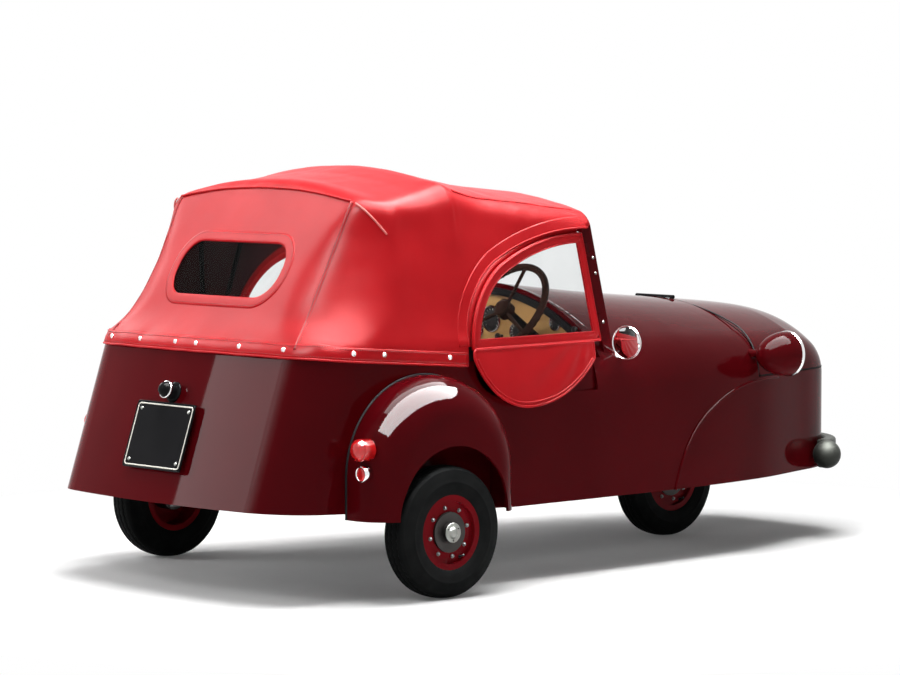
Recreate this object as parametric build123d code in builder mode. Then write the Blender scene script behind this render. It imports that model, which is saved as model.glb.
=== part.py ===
from build123d import *
import os
from math import atan, atan2, cos, degrees, hypot, radians, sin, sqrt

# Small three wheeled car with its hood up. +X is forward, +Y the car's left and +Z up, in millimetres.
# The origin is on the ground under the middle of the outer box. Stations run forward from the rear axle.

# Driving sizes
wheelbase = 1651
tyre_radius = 203.5
tyre_section = 104
body_half = 588
wheel_gap = 46
track = 2 * (body_half + wheel_gap) + tyre_section
rear_overhang = 607
bumper_depth = 52

# Front body: each section is an arch with straight sides. "ahead" is counted from the front axle, "draw_in"
# from the widest half of the body, and "forward" is how far the surface faces ahead
front_columns = ("ahead", "draw_in", "shoulder_z", "crown_z", "shoulder_radius", "forward")
front_rows = (
    (-881, 13, 575, 918, 222, 0),
    (-401, 40, 570, 866, 205, 0),
    (-51, 88, 572, 836, 185, 0),
    (249, 176, 592, 808, 155, 0.25),
    (359, 211, 585, 790, 132, 0.35),
    (439, 251, 572, 763, 122, 0.57),
    (499, 314, 550, 720, 108, 0.82),
    (529, 376, 528, 672, 92, 0.95),
    (538, 428, 510, 632, 78, 1),
)
front_sections = [dict(zip(front_columns, row)) for row in front_rows]
for section in front_sections:
    section["station"] = wheelbase + section["ahead"]
    section["half"] = body_half - section["draw_in"]
cowl_station = front_sections[0]["station"]
cowl_half = front_sections[0]["half"]
seam_station = front_sections[2]["station"]
seam_half = front_sections[2]["half"]
nose_station = front_sections[-1]["station"]
nose_half = front_sections[-1]["half"]

# Outer box
overall_length = rear_overhang + nose_station + bumper_depth
rear_axle_x = rear_overhang - overall_length / 2
front_axle_x = rear_axle_x + wheelbase

# Clearances
seat_gap = 0.3
running_gap = 0.05
panel_gap = 6


def station(distance):
    """X of a place that lies this far ahead of the rear axle."""
    return rear_axle_x + distance


# Body skin and tail
skin = 14
knee_station = 300
tail_bottom_z = 283
tail_slope = 0.334
tail_crown = 72
tail_corner = 190
sill_z = 240
sill_rise = 0.0433
belt_z = 713
belt_station = 150
belt_rise = 0.075
form_low_z = 200
form_high_z = 830
floor_z = 290
floor_thick = 12
ledge = 40
ledge_thick = 10

# Entry cut in each side
entry_rear_station = 222
entry_low_z = 590
entry_corner = 120

# Scuttle, bulkhead and bonnet seams
scuttle_setback = 42
scuttle_station = cowl_station + scuttle_setback
scuttle_side_z = 690
bulkhead_gap = 47.5
bulkhead_station = wheelbase - tyre_radius - bulkhead_gap
bulkhead_thick = 10
bonnet_low_z = 585

# Grille
grille_wall = 12
grille_half = front_sections[-2]["half"] - grille_wall
grille_low_z = 385
grille_high_z = 575
grille_depth = 116
grille_bars_count = 5
grille_bar_radius = 7
grille_setback = 14
grille_station = nose_station - grille_setback

# Bumper round the nose
nose_corner = 250
nose_flat_inset = 23
nose_flat_half = nose_half - nose_flat_inset
bumper_back_gap = 8
bumper_low_z = 240
bumper_high_z = 340
bumper_wrap = 169
bumper_end_station = nose_station - bumper_wrap
bumper_edge = 12
bumper_end_radius = 49

# Rear wings
wing_width = 160
wing_centre = 0
wing_low_z = 252
wing_round = 118
wing_skin = 10
arch_clear = 18.5
arch_lift = 42.5
arch_radius = tyre_radius + arch_clear
arch_centre = 6
arch_z = tyre_radius + arch_lift
wing_band = 78
wing_rise = 131
wing_radius = arch_radius + wing_band
wing_arch_z = arch_z + wing_rise

# Wheels
rim_seat_radius = 102
rim_flange_radius = 120
rim_inset = 14
rim_half = tyre_section / 2 - rim_inset
flange_thick = 6
axle_radius = 12.5
hub_radius = 46
hub_inset = 2
hub_half = rim_half - hub_inset
hub_cap_reach = 16
front_cap_reach = 8
disc_thick = 8
hub_flange = 16
cap_radius = 30
cap_thick = 6

# Windscreen
screen_setback = 92
screen_lean_back = 76
screen_base_station = cowl_station + screen_setback
screen_base_z = 702
screen_top_station = screen_base_station - screen_lean_back
screen_top_z = 1112
screen_side_inset = 45
screen_taper = 30
screen_base_half = cowl_half - screen_side_inset
screen_top_half = screen_base_half - screen_taper
screen_arch = 58
post_width = 16
post_depth = 40
glass_thick = 5

# Hood. "draw_in" is counted from the widest half of the body
hood_thick = 8
hood_front_station = screen_top_station
header_z = 1222
roof_columns = ("station", "crown_z")
roof_rows = ((-520, 1226), (-146, 1271), (190, 1308), (hood_front_station, header_z))
roof_sections = [dict(zip(roof_columns, row)) for row in roof_rows]
roof_crown_radius = 1860
roof_overlap = 52
roof_half = body_half + roof_overlap
roof_shoulder = 70
hood_columns = ("z", "rear", "draw_in", "corner", "crown")
hood_rows = (
    (690, -486, -10, 195, 70),
    (905, -338, 26, 160, 34),
    (1210, -146, 82, 100, 14),
    (1340, -66, 106, 80, 14),
)
hood_sections = [dict(zip(hood_columns, row)) for row in hood_rows]
window_half = 264
window_low_z = 902
window_high_z = 1078
window_corner = 80
window_thick = 4
bow_radius = 8
bow_bend = 50

# Side screens, hinged on the windscreen posts
hinge_z = 796
hinge_setback = 42
hinge_inset = 1
hinge_station = screen_base_station - hinge_setback
hinge_half = screen_base_half - hinge_inset
hinge_pin_radius = 3
hinge_eye_radius = 6
hinge_eye_length = 24
hinge_heights = (806, 1036)
cover_thick = 12
pane_thick = 3
frame_border = 34
frame_lap = 20
hood_edge_gap = 13


def arch_section(half, bottom, shoulder, crown_z, radius):
    """Face with straight sides, round shoulders and a crowned top. Its x is the car's Y and its y is Z."""
    reach = half - radius
    rise = crown_z - shoulder
    crown = (reach**2 + rise**2 - radius**2) / (2 * (rise - radius))
    turn = atan2(crown - rise, reach)
    joint = (reach + radius * cos(turn), shoulder + radius * sin(turn))
    middle = (reach + radius * cos(turn / 2), shoulder + radius * sin(turn / 2))
    with BuildSketch() as section:
        with BuildLine():
            Polyline((-half, shoulder), (-half, bottom), (half, bottom), (half, shoulder))
            ThreePointArc((half, shoulder), middle, joint)
            ThreePointArc(joint, (0, crown_z), (-joint[0], joint[1]))
            ThreePointArc((-joint[0], joint[1]), (-middle[0], middle[1]), (-half, shoulder))
        make_face()
    return section.sketch


def front_form(inset, bottom):
    """Solid of the front body's outer form, drawn in by inset on every side."""
    with BuildPart() as form:
        for row in front_sections:
            x = station(row["station"]) - inset * row["forward"]
            if row["station"] == cowl_station:
                x -= inset
            aside = inset * sqrt(1 - row["forward"] ** 2)
            section = arch_section(
                row["half"] - aside,
                bottom,
                row["shoulder_z"],
                row["crown_z"] - aside,
                row["shoulder_radius"] - aside,
            )
            with BuildSketch(Plane.YZ.offset(x)):
                add(section)
        loft(ruled=True)
    return form.part


def tail_x(z):
    """X of the tail panel's middle at this height."""
    return station(-rear_overhang) + (z - tail_bottom_z) * tail_slope


def plan_outline(rear_x, half, front_half, crown, corner, front_x):
    """Face with a crowned rear edge, two round rear corners and sides that run to a straight front edge."""
    with BuildSketch() as outline:
        with BuildLine():
            ThreePointArc((rear_x + crown, -half), (rear_x, 0), (rear_x + crown, half))
            Polyline(
                (rear_x + crown, half),
                (station(knee_station), half),
                (front_x, front_half),
                (front_x, -front_half),
                (station(knee_station), -half),
                (rear_x + crown, -half),
            )
        make_face()
        fillet(outline.vertices().sort_by(Axis.X)[:2], corner)
    return outline.sketch


def tail_form(inset, low_z, high_z, front_x):
    """Solid of the tail and cockpit sides between two heights, drawn in by inset."""
    with BuildPart() as form:
        for z in (low_z, high_z):
            rear_x = tail_x(z) + inset
            half = body_half - inset
            outline = plan_outline(rear_x, half, cowl_half - inset, tail_crown, tail_corner - inset, front_x)
            with BuildSketch(Plane.XY.offset(z)):
                add(outline)
        loft(ruled=True)
    return form.part


def roof_section(top, inset):
    """Arched face under the roof at one station."""
    radius = roof_crown_radius - inset
    shoulder = roof_shoulder - inset
    reach = roof_half - roof_shoulder
    shoulder_z = top - radius + sqrt((radius - shoulder) ** 2 - reach**2)
    return arch_section(roof_half - inset, form_low_z, shoulder_z, top, shoulder)


def roof_form(inset):
    """Solid under the roof's arch, drawn in by inset."""
    with BuildPart() as form:
        for row in roof_sections:
            x = station(row["station"])
            if row["station"] == hood_front_station:
                x += inset
            section = roof_section(row["crown_z"] - inset, inset)
            with BuildSketch(Plane.YZ.offset(x)):
                add(section)
        loft(ruled=True)
    return form.part


def hood_form(inset):
    """Solid under the hood's skin, drawn in by inset."""
    roof = roof_form(inset)
    with BuildPart() as form:
        for row in hood_sections:
            half = body_half - row["draw_in"] - inset
            rear_x = station(row["rear"]) + inset
            front_x = station(hood_front_station) + inset
            outline = plan_outline(rear_x, half, half, row["crown"], row["corner"] - inset, front_x)
            with BuildSketch(Plane.XY.offset(row["z"])):
                add(outline)
        loft(ruled=True)
        add(roof, mode=Mode.INTERSECT)
    return form.part


def write(name, builder):
    """Labels a finished piece and writes it."""
    builder.part.label = name
    export_step(builder.part, f"parts/{name}.step")


os.makedirs("parts", exist_ok=True)
sides = {"left": 1, "right": -1}
far = 4000


# Half spaces that trim the body along its sloping lower edge and its belt line
def sloped_box(x, z, slope, above):
    """Large box whose face passes through x, z and falls towards the front by slope."""
    tilt = degrees(atan(slope))
    plane = Plane((x, 0, z)).rotated((0, tilt, 0))
    with BuildPart(plane) as box:
        reach = far / 2 if above else -far / 2
        with Locations((0, 0, reach)):
            Box(far, far, far)
    return box.part


below_sill = sloped_box(station(-rear_overhang), tail_bottom_z, sill_rise, False)
above_belt = sloped_box(station(belt_station), belt_z, belt_rise, True)
below_belt = sloped_box(station(belt_station), belt_z, belt_rise, False)

# Tail and cockpit sides, with a ledge for the floor and an entry cut in each side
cavity_front = station(cowl_station) + skin
ledge_low_z = floor_z - ledge_thick
with BuildPart() as tail_body:
    add(tail_form(0, form_low_z, form_high_z, station(cowl_station)))
    add(tail_form(skin, form_low_z, ledge_low_z, cavity_front), mode=Mode.SUBTRACT)
    add(tail_form(skin + ledge, ledge_low_z, floor_z, cavity_front), mode=Mode.SUBTRACT)
    add(tail_form(skin, floor_z, form_high_z, cavity_front), mode=Mode.SUBTRACT)
    add(below_sill, mode=Mode.SUBTRACT)
    add(above_belt, mode=Mode.SUBTRACT)
    with Locations((0, 0, sill_z - far / 2)):
        Box(far, far, far, mode=Mode.SUBTRACT)
    entry_front = station(cowl_station) + far
    with BuildSketch(Plane.XZ.offset(-far / 2)):
        with BuildLine():
            FilletPolyline(
                (station(entry_rear_station), far),
                (station(entry_rear_station), entry_low_z),
                (entry_front, entry_low_z),
                radius=entry_corner,
            )
            Polyline((entry_front, entry_low_z), (entry_front, far), (station(entry_rear_station), far))
        make_face()
    extrude(amount=far, mode=Mode.SUBTRACT)
write("tail_body", tail_body)

# Floor pan on the ledge
floor_inset = skin + panel_gap
floor_rear = tail_x(floor_z) + tail_crown + floor_inset
with BuildPart() as floor_pan:
    with BuildSketch(Plane.XY.offset(floor_z)):
        with BuildLine():
            tail_half = body_half - tail_corner
            sill_half = body_half - floor_inset
            cowl_inner = cowl_half - floor_inset
            bulkhead_half = seam_half - floor_inset
            corners = (
                (floor_rear, tail_half),
                (floor_rear + tail_corner, sill_half),
                (station(knee_station), sill_half),
                (station(cowl_station), cowl_inner),
                (station(bulkhead_station), bulkhead_half),
            )
            Polyline(*corners, *[(x, -y) for x, y in reversed(corners)], close=True)
        make_face()
    extrude(amount=floor_thick)
write("floor_pan", floor_pan)

# Front body: scuttle, sides and nose, open below, with the cockpit edge, bonnet and grille cut out
front_outer = front_form(0, sill_z)
front_inner = front_form(skin, sill_z - skin)
with BuildPart() as front_skin:
    add(front_outer)
    add(front_inner, mode=Mode.SUBTRACT)
seam_x = station(seam_station)


def ahead_and_above(x, z):
    """Large box ahead of x and above z."""
    with BuildPart() as box:
        with Locations((x + far / 2, 0, z + far / 2)):
            Box(far, far, far)
    return box.part


# Bonnet hinge across the seam
hinge_stand = 2
bonnet_hinge_z = front_sections[2]["crown_z"] + hinge_stand
bonnet_hinge_x = seam_x + panel_gap / 2
hinge_half_width = 90
knuckle_half = 30
knuckle_radius = 7
bonnet_pin_radius = 3
leaf_drop = 20
leaf_length = 22
hinge_clear = 2

with BuildPart() as front_body:
    add(front_skin.part)
    add(ahead_and_above(seam_x, bonnet_low_z), mode=Mode.SUBTRACT)
    with Locations((station(scuttle_station) - far / 2, 0, scuttle_side_z + far / 2)):
        Box(far, far, far, mode=Mode.SUBTRACT)
    with Locations((station(nose_station), 0, (grille_low_z + grille_high_z) / 2)):
        Box(grille_depth, 2 * grille_half, grille_high_z - grille_low_z, mode=Mode.SUBTRACT)
    with Locations(Location((bonnet_hinge_x, 0, bonnet_hinge_z), (90, 0, 0))):
        Cylinder(knuckle_radius + hinge_clear, 2 * (knuckle_half + hinge_clear), mode=Mode.SUBTRACT)
    knuckle_length = hinge_half_width - knuckle_half - seat_gap
    for side in sides.values():
        y = side * (hinge_half_width + knuckle_half + seat_gap) / 2
        with Locations(Location((bonnet_hinge_x, y, bonnet_hinge_z), (90, 0, 0))):
            Cylinder(knuckle_radius, knuckle_length)
        with Locations((seam_x - leaf_length / 2, y, bonnet_hinge_z - leaf_drop / 2)):
            Box(leaf_length, knuckle_length, leaf_drop)
    with Locations(Location((bonnet_hinge_x, 0, bonnet_hinge_z), (90, 0, 0))):
        Cylinder(bonnet_pin_radius, 2 * hinge_half_width)
write("front_body", front_body)

with BuildPart() as bonnet:
    add(front_skin.part)
    add(ahead_and_above(seam_x + panel_gap, bonnet_low_z + panel_gap), mode=Mode.INTERSECT)
    with Locations(Location((bonnet_hinge_x, 0, bonnet_hinge_z), (90, 0, 0))):
        Cylinder(knuckle_radius + hinge_clear, 2 * (hinge_half_width + hinge_clear), mode=Mode.SUBTRACT)
    with Locations((bonnet_hinge_x + leaf_length / 2, 0, bonnet_hinge_z - leaf_drop / 2)):
        Box(leaf_length, 2 * knuckle_half, leaf_drop)
    with Locations(Location((bonnet_hinge_x, 0, bonnet_hinge_z), (90, 0, 0))):
        Cylinder(knuckle_radius, 2 * knuckle_half)
        Cylinder(bonnet_pin_radius + running_gap, 2 * knuckle_half, mode=Mode.SUBTRACT)
write("bonnet", bonnet)

# Knob at the bonnet's front edge
knob_radius = 12
knob_reach = 30
knob_sink = 8
knob_lift = 22
knob_x = station(nose_station) - knob_sink
knob_z = bonnet_low_z + panel_gap + knob_lift
with BuildPart() as bonnet_knob:
    with Locations(Location((knob_x, 0, knob_z), (0, 90, 0))):
        Cylinder(knob_radius / 2, knob_reach, align=(Align.CENTER, Align.CENTER, Align.MIN))
    with Locations((knob_x + knob_reach, 0, knob_z)):
        Sphere(knob_radius)
    add(front_outer, mode=Mode.SUBTRACT)
write("bonnet_knob", bonnet_knob)

# Bulkhead behind the front wheel, with the steering head that it carries
crown_gap = 23
crown_low_z = 2 * tyre_radius + crown_gap
crown_deep = 40
head_low_z = crown_low_z + crown_deep
head_high_z = 600
head_radius = 34
stem_radius = 20
arm_half = 26
with BuildPart() as bulkhead:
    add(front_inner)
    with Locations((station(bulkhead_station) + bulkhead_thick / 2, 0, floor_z + far / 2)):
        Box(bulkhead_thick, far, far, mode=Mode.INTERSECT)
    arm_length = front_axle_x - station(bulkhead_station) - bulkhead_thick
    with Locations((front_axle_x - arm_length / 2, 0, (head_low_z + head_high_z) / 2)):
        Box(arm_length, 2 * arm_half, head_high_z - head_low_z)
    with Locations((front_axle_x, 0, (head_low_z + head_high_z) / 2)):
        Cylinder(head_radius, head_high_z - head_low_z)
        Cylinder(stem_radius + running_gap, head_high_z - head_low_z, mode=Mode.SUBTRACT)
write("bulkhead", bulkhead)

# Grille bars across the nose opening
bar_pitch = (grille_high_z - grille_low_z) / grille_bars_count
with BuildPart() as grille_bars:
    for index in range(grille_bars_count):
        bar_z = grille_low_z + bar_pitch * (index + 0.5)
        with Locations(Location((station(grille_station), 0, bar_z), (90, 0, 0))):
            Cylinder(grille_bar_radius, 2 * (grille_half - seat_gap))
write("grille_bars", grille_bars)


# Bumper: a flat bar round the nose with bulbous ends and two feet on the nose
def nose_plan(grow):
    """Face of the nose seen from above, grown by this much."""
    radius = nose_corner + grow
    centre_x = station(nose_station) - nose_corner
    with BuildSketch() as plan:
        with Locations((centre_x, nose_flat_half), (centre_x, -nose_flat_half)):
            Circle(radius)
        with Locations((centre_x, 0)):
            Rectangle(2 * radius, 2 * nose_flat_half)
    return plan.sketch


foot_half = 20
foot_inset = 37
foot_lap = 4
foot_y = nose_flat_half - foot_inset
bumper_mid_z = (bumper_low_z + bumper_high_z) / 2
with BuildPart() as bumper:
    with BuildSketch(Plane.XY.offset(bumper_low_z)):
        add(nose_plan(bumper_depth))
        add(nose_plan(bumper_back_gap), mode=Mode.SUBTRACT)
        with Locations((station(bumper_end_station) - far / 2, 0)):
            Rectangle(far, far, mode=Mode.SUBTRACT)
    extrude(amount=bumper_high_z - bumper_low_z)
    fillet(bumper.faces().filter_by(Axis.Z).edges(), bumper_edge)
    end_x = station(bumper_end_station)
    end_reach = bumper_end_station - (nose_station - nose_corner)
    end_radius = nose_corner + bumper_back_gap + bumper_end_radius - foot_lap
    end_y = nose_flat_half + sqrt(end_radius**2 - end_reach**2)
    with Locations((end_x, end_y, bumper_mid_z), (end_x, -end_y, bumper_mid_z)):
        Sphere(bumper_end_radius)
    foot_length = bumper_back_gap + foot_lap
    for side in sides.values():
        with Locations((station(nose_station) + foot_length / 2, side * foot_y, bumper_mid_z)):
            Box(foot_length, 2 * foot_half, 2 * foot_half)
    add(front_outer, mode=Mode.SUBTRACT)
write("bumper", bumper)


# Rear wings, hollow, with a round arch for the wheel
def wing_form(inset):
    """Solid of the right wing's outer form, drawn in by inset."""
    radius = wing_radius - inset
    x = station(wing_centre)
    low = wing_low_z - inset
    with BuildPart() as form:
        with BuildSketch(Plane.XZ.offset(body_half)):
            with BuildLine():
                front = (x + radius, wing_arch_z)
                rear = (x - radius, wing_arch_z)
                Polyline(rear, (x - radius, low), (x + radius, low), front)
                ThreePointArc(front, (x, wing_arch_z + radius), rear)
            make_face()
        extrude(amount=wing_width - inset)
        outer_face = form.faces().sort_by(Axis.Y)[0]
        rounded = outer_face.edges().filter_by(lambda edge: edge.center().Z > low + 1)
        fillet(rounded, wing_round - inset)
    return form.part


with BuildPart() as wing_right:
    add(wing_form(0))
    add(wing_form(wing_skin), mode=Mode.SUBTRACT)
    with BuildSketch(Plane.XZ.offset(body_half + wing_skin)):
        with Locations((station(arch_centre), arch_z)):
            Circle(arch_radius)
        with Locations((station(arch_centre), arch_z - arch_radius / 2)):
            Rectangle(2 * arch_radius, arch_radius)
    extrude(amount=wing_width, mode=Mode.SUBTRACT)
write("wing_right", wing_right)
with BuildPart() as wing_left:
    mirror(wing_right.part, about=Plane.XZ)
write("wing_left", wing_left)


# Wheels
def wheel_plane(x, y):
    """Plane through a wheel's axle: its x runs along the car's Y and its y is up."""
    return Plane((x, y, tyre_radius), x_dir=(0, 1, 0), z_dir=(1, 0, 0))


def axle_line(x, y):
    """Line along a wheel's axle."""
    return Axis((x, y, tyre_radius), (0, 1, 0))


tread_inset = 16
tread_half = tyre_section / 2 - tread_inset
tread_crown = 6
wheel_rows = (
    ("front", front_axle_x, 0, -1, front_cap_reach),
    ("rear_left", rear_axle_x, track / 2, 1, hub_cap_reach),
    ("rear_right", rear_axle_x, -track / 2, -1, hub_cap_reach),
)
side_z = (rim_flange_radius + tyre_radius) / 2
bead_half = rim_half - seat_gap
for name, x, y, side, cap_reach in wheel_rows:
    with BuildPart() as tyre:
        with BuildSketch(wheel_plane(x, y)):
            with BuildLine():
                Polyline(
                    (-bead_half, rim_seat_radius), (bead_half, rim_seat_radius), (bead_half, rim_flange_radius)
                )
                ThreePointArc(
                    (bead_half, rim_flange_radius),
                    (tyre_section / 2, side_z),
                    (tread_half, tyre_radius - tread_crown),
                )
                ThreePointArc(
                    (tread_half, tyre_radius - tread_crown),
                    (0, tyre_radius),
                    (-tread_half, tyre_radius - tread_crown),
                )
                ThreePointArc(
                    (-tread_half, tyre_radius - tread_crown),
                    (-tyre_section / 2, side_z),
                    (-bead_half, rim_flange_radius),
                )
                Line((-bead_half, rim_flange_radius), (-rim_half + seat_gap, rim_seat_radius))
            make_face()
        revolve(axis=axle_line(x, y))
    write(f"{name}_tyre", tyre)
    with BuildPart() as rim:
        outer = rim_half + flange_thick
        barrel = rim_seat_radius - flange_thick
        disc_inner = side * (rim_half - 2 * disc_thick)
        disc_outer = side * (rim_half - disc_thick)
        with BuildSketch(wheel_plane(x, y)):
            with BuildLine():
                Polyline(
                    (-outer, barrel),
                    (-outer, rim_flange_radius),
                    (-rim_half, rim_flange_radius),
                    (-rim_half, rim_seat_radius),
                    (rim_half, rim_seat_radius),
                    (rim_half, rim_flange_radius),
                    (outer, rim_flange_radius),
                    (outer, barrel),
                    close=True,
                )
            make_face()
            with Locations(((disc_inner + disc_outer) / 2, (hub_radius + rim_seat_radius) / 2)):
                Rectangle(disc_thick, rim_seat_radius - hub_radius)
        revolve(axis=axle_line(x, y))
    write(f"{name}_rim", rim)
    with BuildPart() as hub:
        with BuildSketch(wheel_plane(x, y)):
            with BuildLine():
                Polyline(
                    (-side * hub_half, axle_radius + running_gap),
                    (-side * hub_half, hub_radius - seat_gap),
                    (disc_outer, hub_radius - seat_gap),
                    (disc_outer, hub_radius + hub_flange),
                    (disc_outer + side * disc_thick, hub_radius + hub_flange),
                    (side * hub_half, cap_radius),
                    (side * (hub_half + cap_reach), cap_radius),
                    (side * (hub_half + cap_reach), axle_radius + running_gap),
                    close=True,
                )
            make_face()
        revolve(axis=axle_line(x, y))
        if name != "front":
            cap_y = y + side * (hub_half + cap_reach)
            with Locations(Location((x, cap_y - side * cap_thick / 2, tyre_radius), (90, 0, 0))):
                Cylinder(cap_radius, cap_thick)
    write(f"{name}_hub", hub)

# Stub axles on the body sides carry the rear wheels
stub_plate = 130
stub_plate_thick = 10
stub_plate_lift = 55
with BuildPart() as stub_axles:
    for side in sides.values():
        with Locations((rear_axle_x, side * (body_half + stub_plate_thick / 2), tyre_radius + stub_plate / 2)):
            Box(stub_plate, stub_plate_thick, stub_plate + stub_plate_lift)
        reach = track / 2 + hub_half + hub_cap_reach - cap_thick - seat_gap - body_half
        with Locations(Location((rear_axle_x, side * (body_half + reach / 2), tyre_radius), (90, 0, 0))):
            Cylinder(axle_radius, reach)
write("stub_axles", stub_axles)

# Front fork with its stem, legs and engine plates
leg_gap = 12
leg_thick = 12
leg_width = 60
leg_y = tyre_section / 2 + leg_gap
crown_thick = head_low_z - crown_low_z - seat_gap
plate_length = 240
stem_cap = 12
axle_nut = 12
nut_wall = 6
with BuildPart() as fork:
    with Locations((front_axle_x, 0, crown_low_z + crown_thick / 2)):
        Box(2 * leg_width, 2 * (leg_y + leg_thick), crown_thick)
    stem_length = head_high_z + stem_cap - crown_low_z
    with Locations((front_axle_x, 0, crown_low_z + stem_length / 2)):
        Cylinder(stem_radius, stem_length)
    with Locations((front_axle_x, 0, head_high_z + seat_gap + stem_cap / 2)):
        Cylinder(head_radius, stem_cap)
    for side in sides.values():
        leg_centre = side * (leg_y + leg_thick / 2)
        leg_height = crown_low_z - tyre_radius + leg_width / 2
        with Locations((front_axle_x, leg_centre, tyre_radius - leg_width / 2 + leg_height / 2)):
            Box(leg_width, leg_thick, leg_height)
        with Locations((front_axle_x + plate_length / 2, leg_centre, crown_low_z + crown_thick / 2)):
            Box(plate_length, leg_thick, crown_thick)
    for side in sides.values():
        with Locations(Location((front_axle_x, side * leg_y, tyre_radius), (90, 0, 0))):
            Cylinder(axle_radius, 2 * leg_thick + 2 * leg_gap, mode=Mode.SUBTRACT)
write("fork", fork)
nut_y = leg_y + leg_thick + axle_nut / 2
with BuildPart() as front_axle:
    with Locations(Location((front_axle_x, 0, tyre_radius), (90, 0, 0))):
        Cylinder(axle_radius, 2 * (leg_y + leg_thick))
    for side in sides.values():
        with Locations(Location((front_axle_x, side * nut_y, tyre_radius), (90, 0, 0))):
            Cylinder(axle_radius + nut_wall, axle_nut)
write("front_axle", front_axle)

# Engine ahead of the wheel, as one plain block
engine_length = 200
engine_half = 105
engine_low_z = 300
engine_high_z = 600
with BuildPart() as engine:
    with Locations((front_axle_x + plate_length + engine_length / 2, 0, (engine_low_z + engine_high_z) / 2)):
        Box(engine_length, 2 * engine_half, engine_high_z - engine_low_z)
write("engine", engine)

# Headlamps on stalks
lamp_setback = 21
lamp_station = wheelbase - lamp_setback
lamp_stand = 80
lamp_y = seam_half + lamp_stand
lamp_z = 665
lamp_radius = 75
lamp_length = 110
lamp_front = 22
lamp_bulge = 12
lamp_cap_radius = 34
lamp_cap_height = 14
lamp_sphere = (lamp_cap_radius**2 + lamp_cap_height**2) / (2 * lamp_cap_height)
lamp_cap_mid = lamp_cap_height - lamp_sphere + sqrt(lamp_sphere**2 - (lamp_cap_radius / 2) ** 2)
stalk_radius = 13
stalk_setback = 50
stalk_length = 150
stalk_station = lamp_station - stalk_setback
with BuildPart() as headlamp_shells:
    for side in sides.values():
        shell_x = station(lamp_station)
        lamp_plane = Plane((shell_x, side * lamp_y, lamp_z), x_dir=(1, 0, 0), z_dir=(0, -1, 0))
        with BuildSketch(lamp_plane):
            with BuildLine():
                cap_x = lamp_cap_height - lamp_length
                cap_edge = (cap_x, lamp_cap_radius)
                Polyline((-lamp_length, 0), (lamp_front, 0), (lamp_front, lamp_radius))
                SagittaArc((lamp_front, lamp_radius), cap_edge, -lamp_bulge)
                ThreePointArc(cap_edge, (cap_x - lamp_cap_mid, lamp_cap_radius / 2), (-lamp_length, 0))
            make_face()
        revolve(axis=Axis((station(lamp_station), side * lamp_y, lamp_z), (1, 0, 0)))
        stalk_y = side * (lamp_y - stalk_length / 2)
        with Locations(Location((station(stalk_station), stalk_y, lamp_z), (90, 0, 0))):
            Cylinder(stalk_radius, stalk_length)
    add(front_outer, mode=Mode.SUBTRACT)
write("headlamp_shells", headlamp_shells)
rim_depth = 16
lens_bulge = 14
rim_wall = 8
lens_radius = lamp_radius - rim_wall
lens_sphere = (lens_radius**2 + lens_bulge**2) / (2 * lens_bulge)
lens_mid = lens_bulge - lens_sphere + sqrt(lens_sphere**2 - (lens_radius / 2) ** 2)
with BuildPart() as headlamp_glasses:
    for side in sides.values():
        glass_x = station(lamp_station) + lamp_front
        lamp_plane = Plane((glass_x, side * lamp_y, lamp_z), x_dir=(1, 0, 0), z_dir=(0, -1, 0))
        with BuildSketch(lamp_plane):
            with BuildLine():
                lens_tip = (rim_depth + lens_bulge, 0)
                lens_edge = (rim_depth, lens_radius)
                Polyline(lens_tip, (0, 0), (0, lamp_radius), lens_edge)
                ThreePointArc(lens_edge, (rim_depth + lens_mid, lens_radius / 2), lens_tip)
            make_face()
        revolve(axis=Axis((station(lamp_station), side * lamp_y, lamp_z), (1, 0, 0)))
write("headlamp_glasses", headlamp_glasses)

# Tail plate and its lamp on the tail panel
tail_outer = tail_form(0, form_low_z, form_high_z, station(cowl_station))
tail_lean = atan(tail_slope)


def tail_plane(z):
    """Plane on the middle of the tail panel at this height: its z points out and its x runs to the right."""
    return Plane((tail_x(z), 0, z), x_dir=(0, -1, 0), z_dir=(-cos(tail_lean), 0, sin(tail_lean)))


plate_width = 288
plate_height = 212
plate_thick = 4
plate_z = 478
plate_stand = 14
plate_foot_radius = 8
with BuildPart() as rear_plate:
    with Locations(tail_plane(plate_z)):
        with Locations((0, 0, plate_stand)):
            Box(plate_width, plate_height, plate_thick)
        with Locations((0, 0.3 * plate_height, 0), (0, -0.3 * plate_height, 0)):
            Cylinder(plate_foot_radius, 2 * plate_stand)
    add(tail_outer, mode=Mode.SUBTRACT)
write("rear_plate", rear_plate)
plate_lamp_z = 614
plate_lamp_radius = 24
plate_lamp_reach = 34
with BuildPart() as plate_lamp:
    with Locations(tail_plane(plate_lamp_z)):
        Cylinder(plate_lamp_radius, 2 * plate_lamp_reach)
        with Locations((0, 0, plate_lamp_reach)):
            Sphere(plate_lamp_radius)
    add(tail_outer, mode=Mode.SUBTRACT)
write("plate_lamp", plate_lamp)

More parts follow.
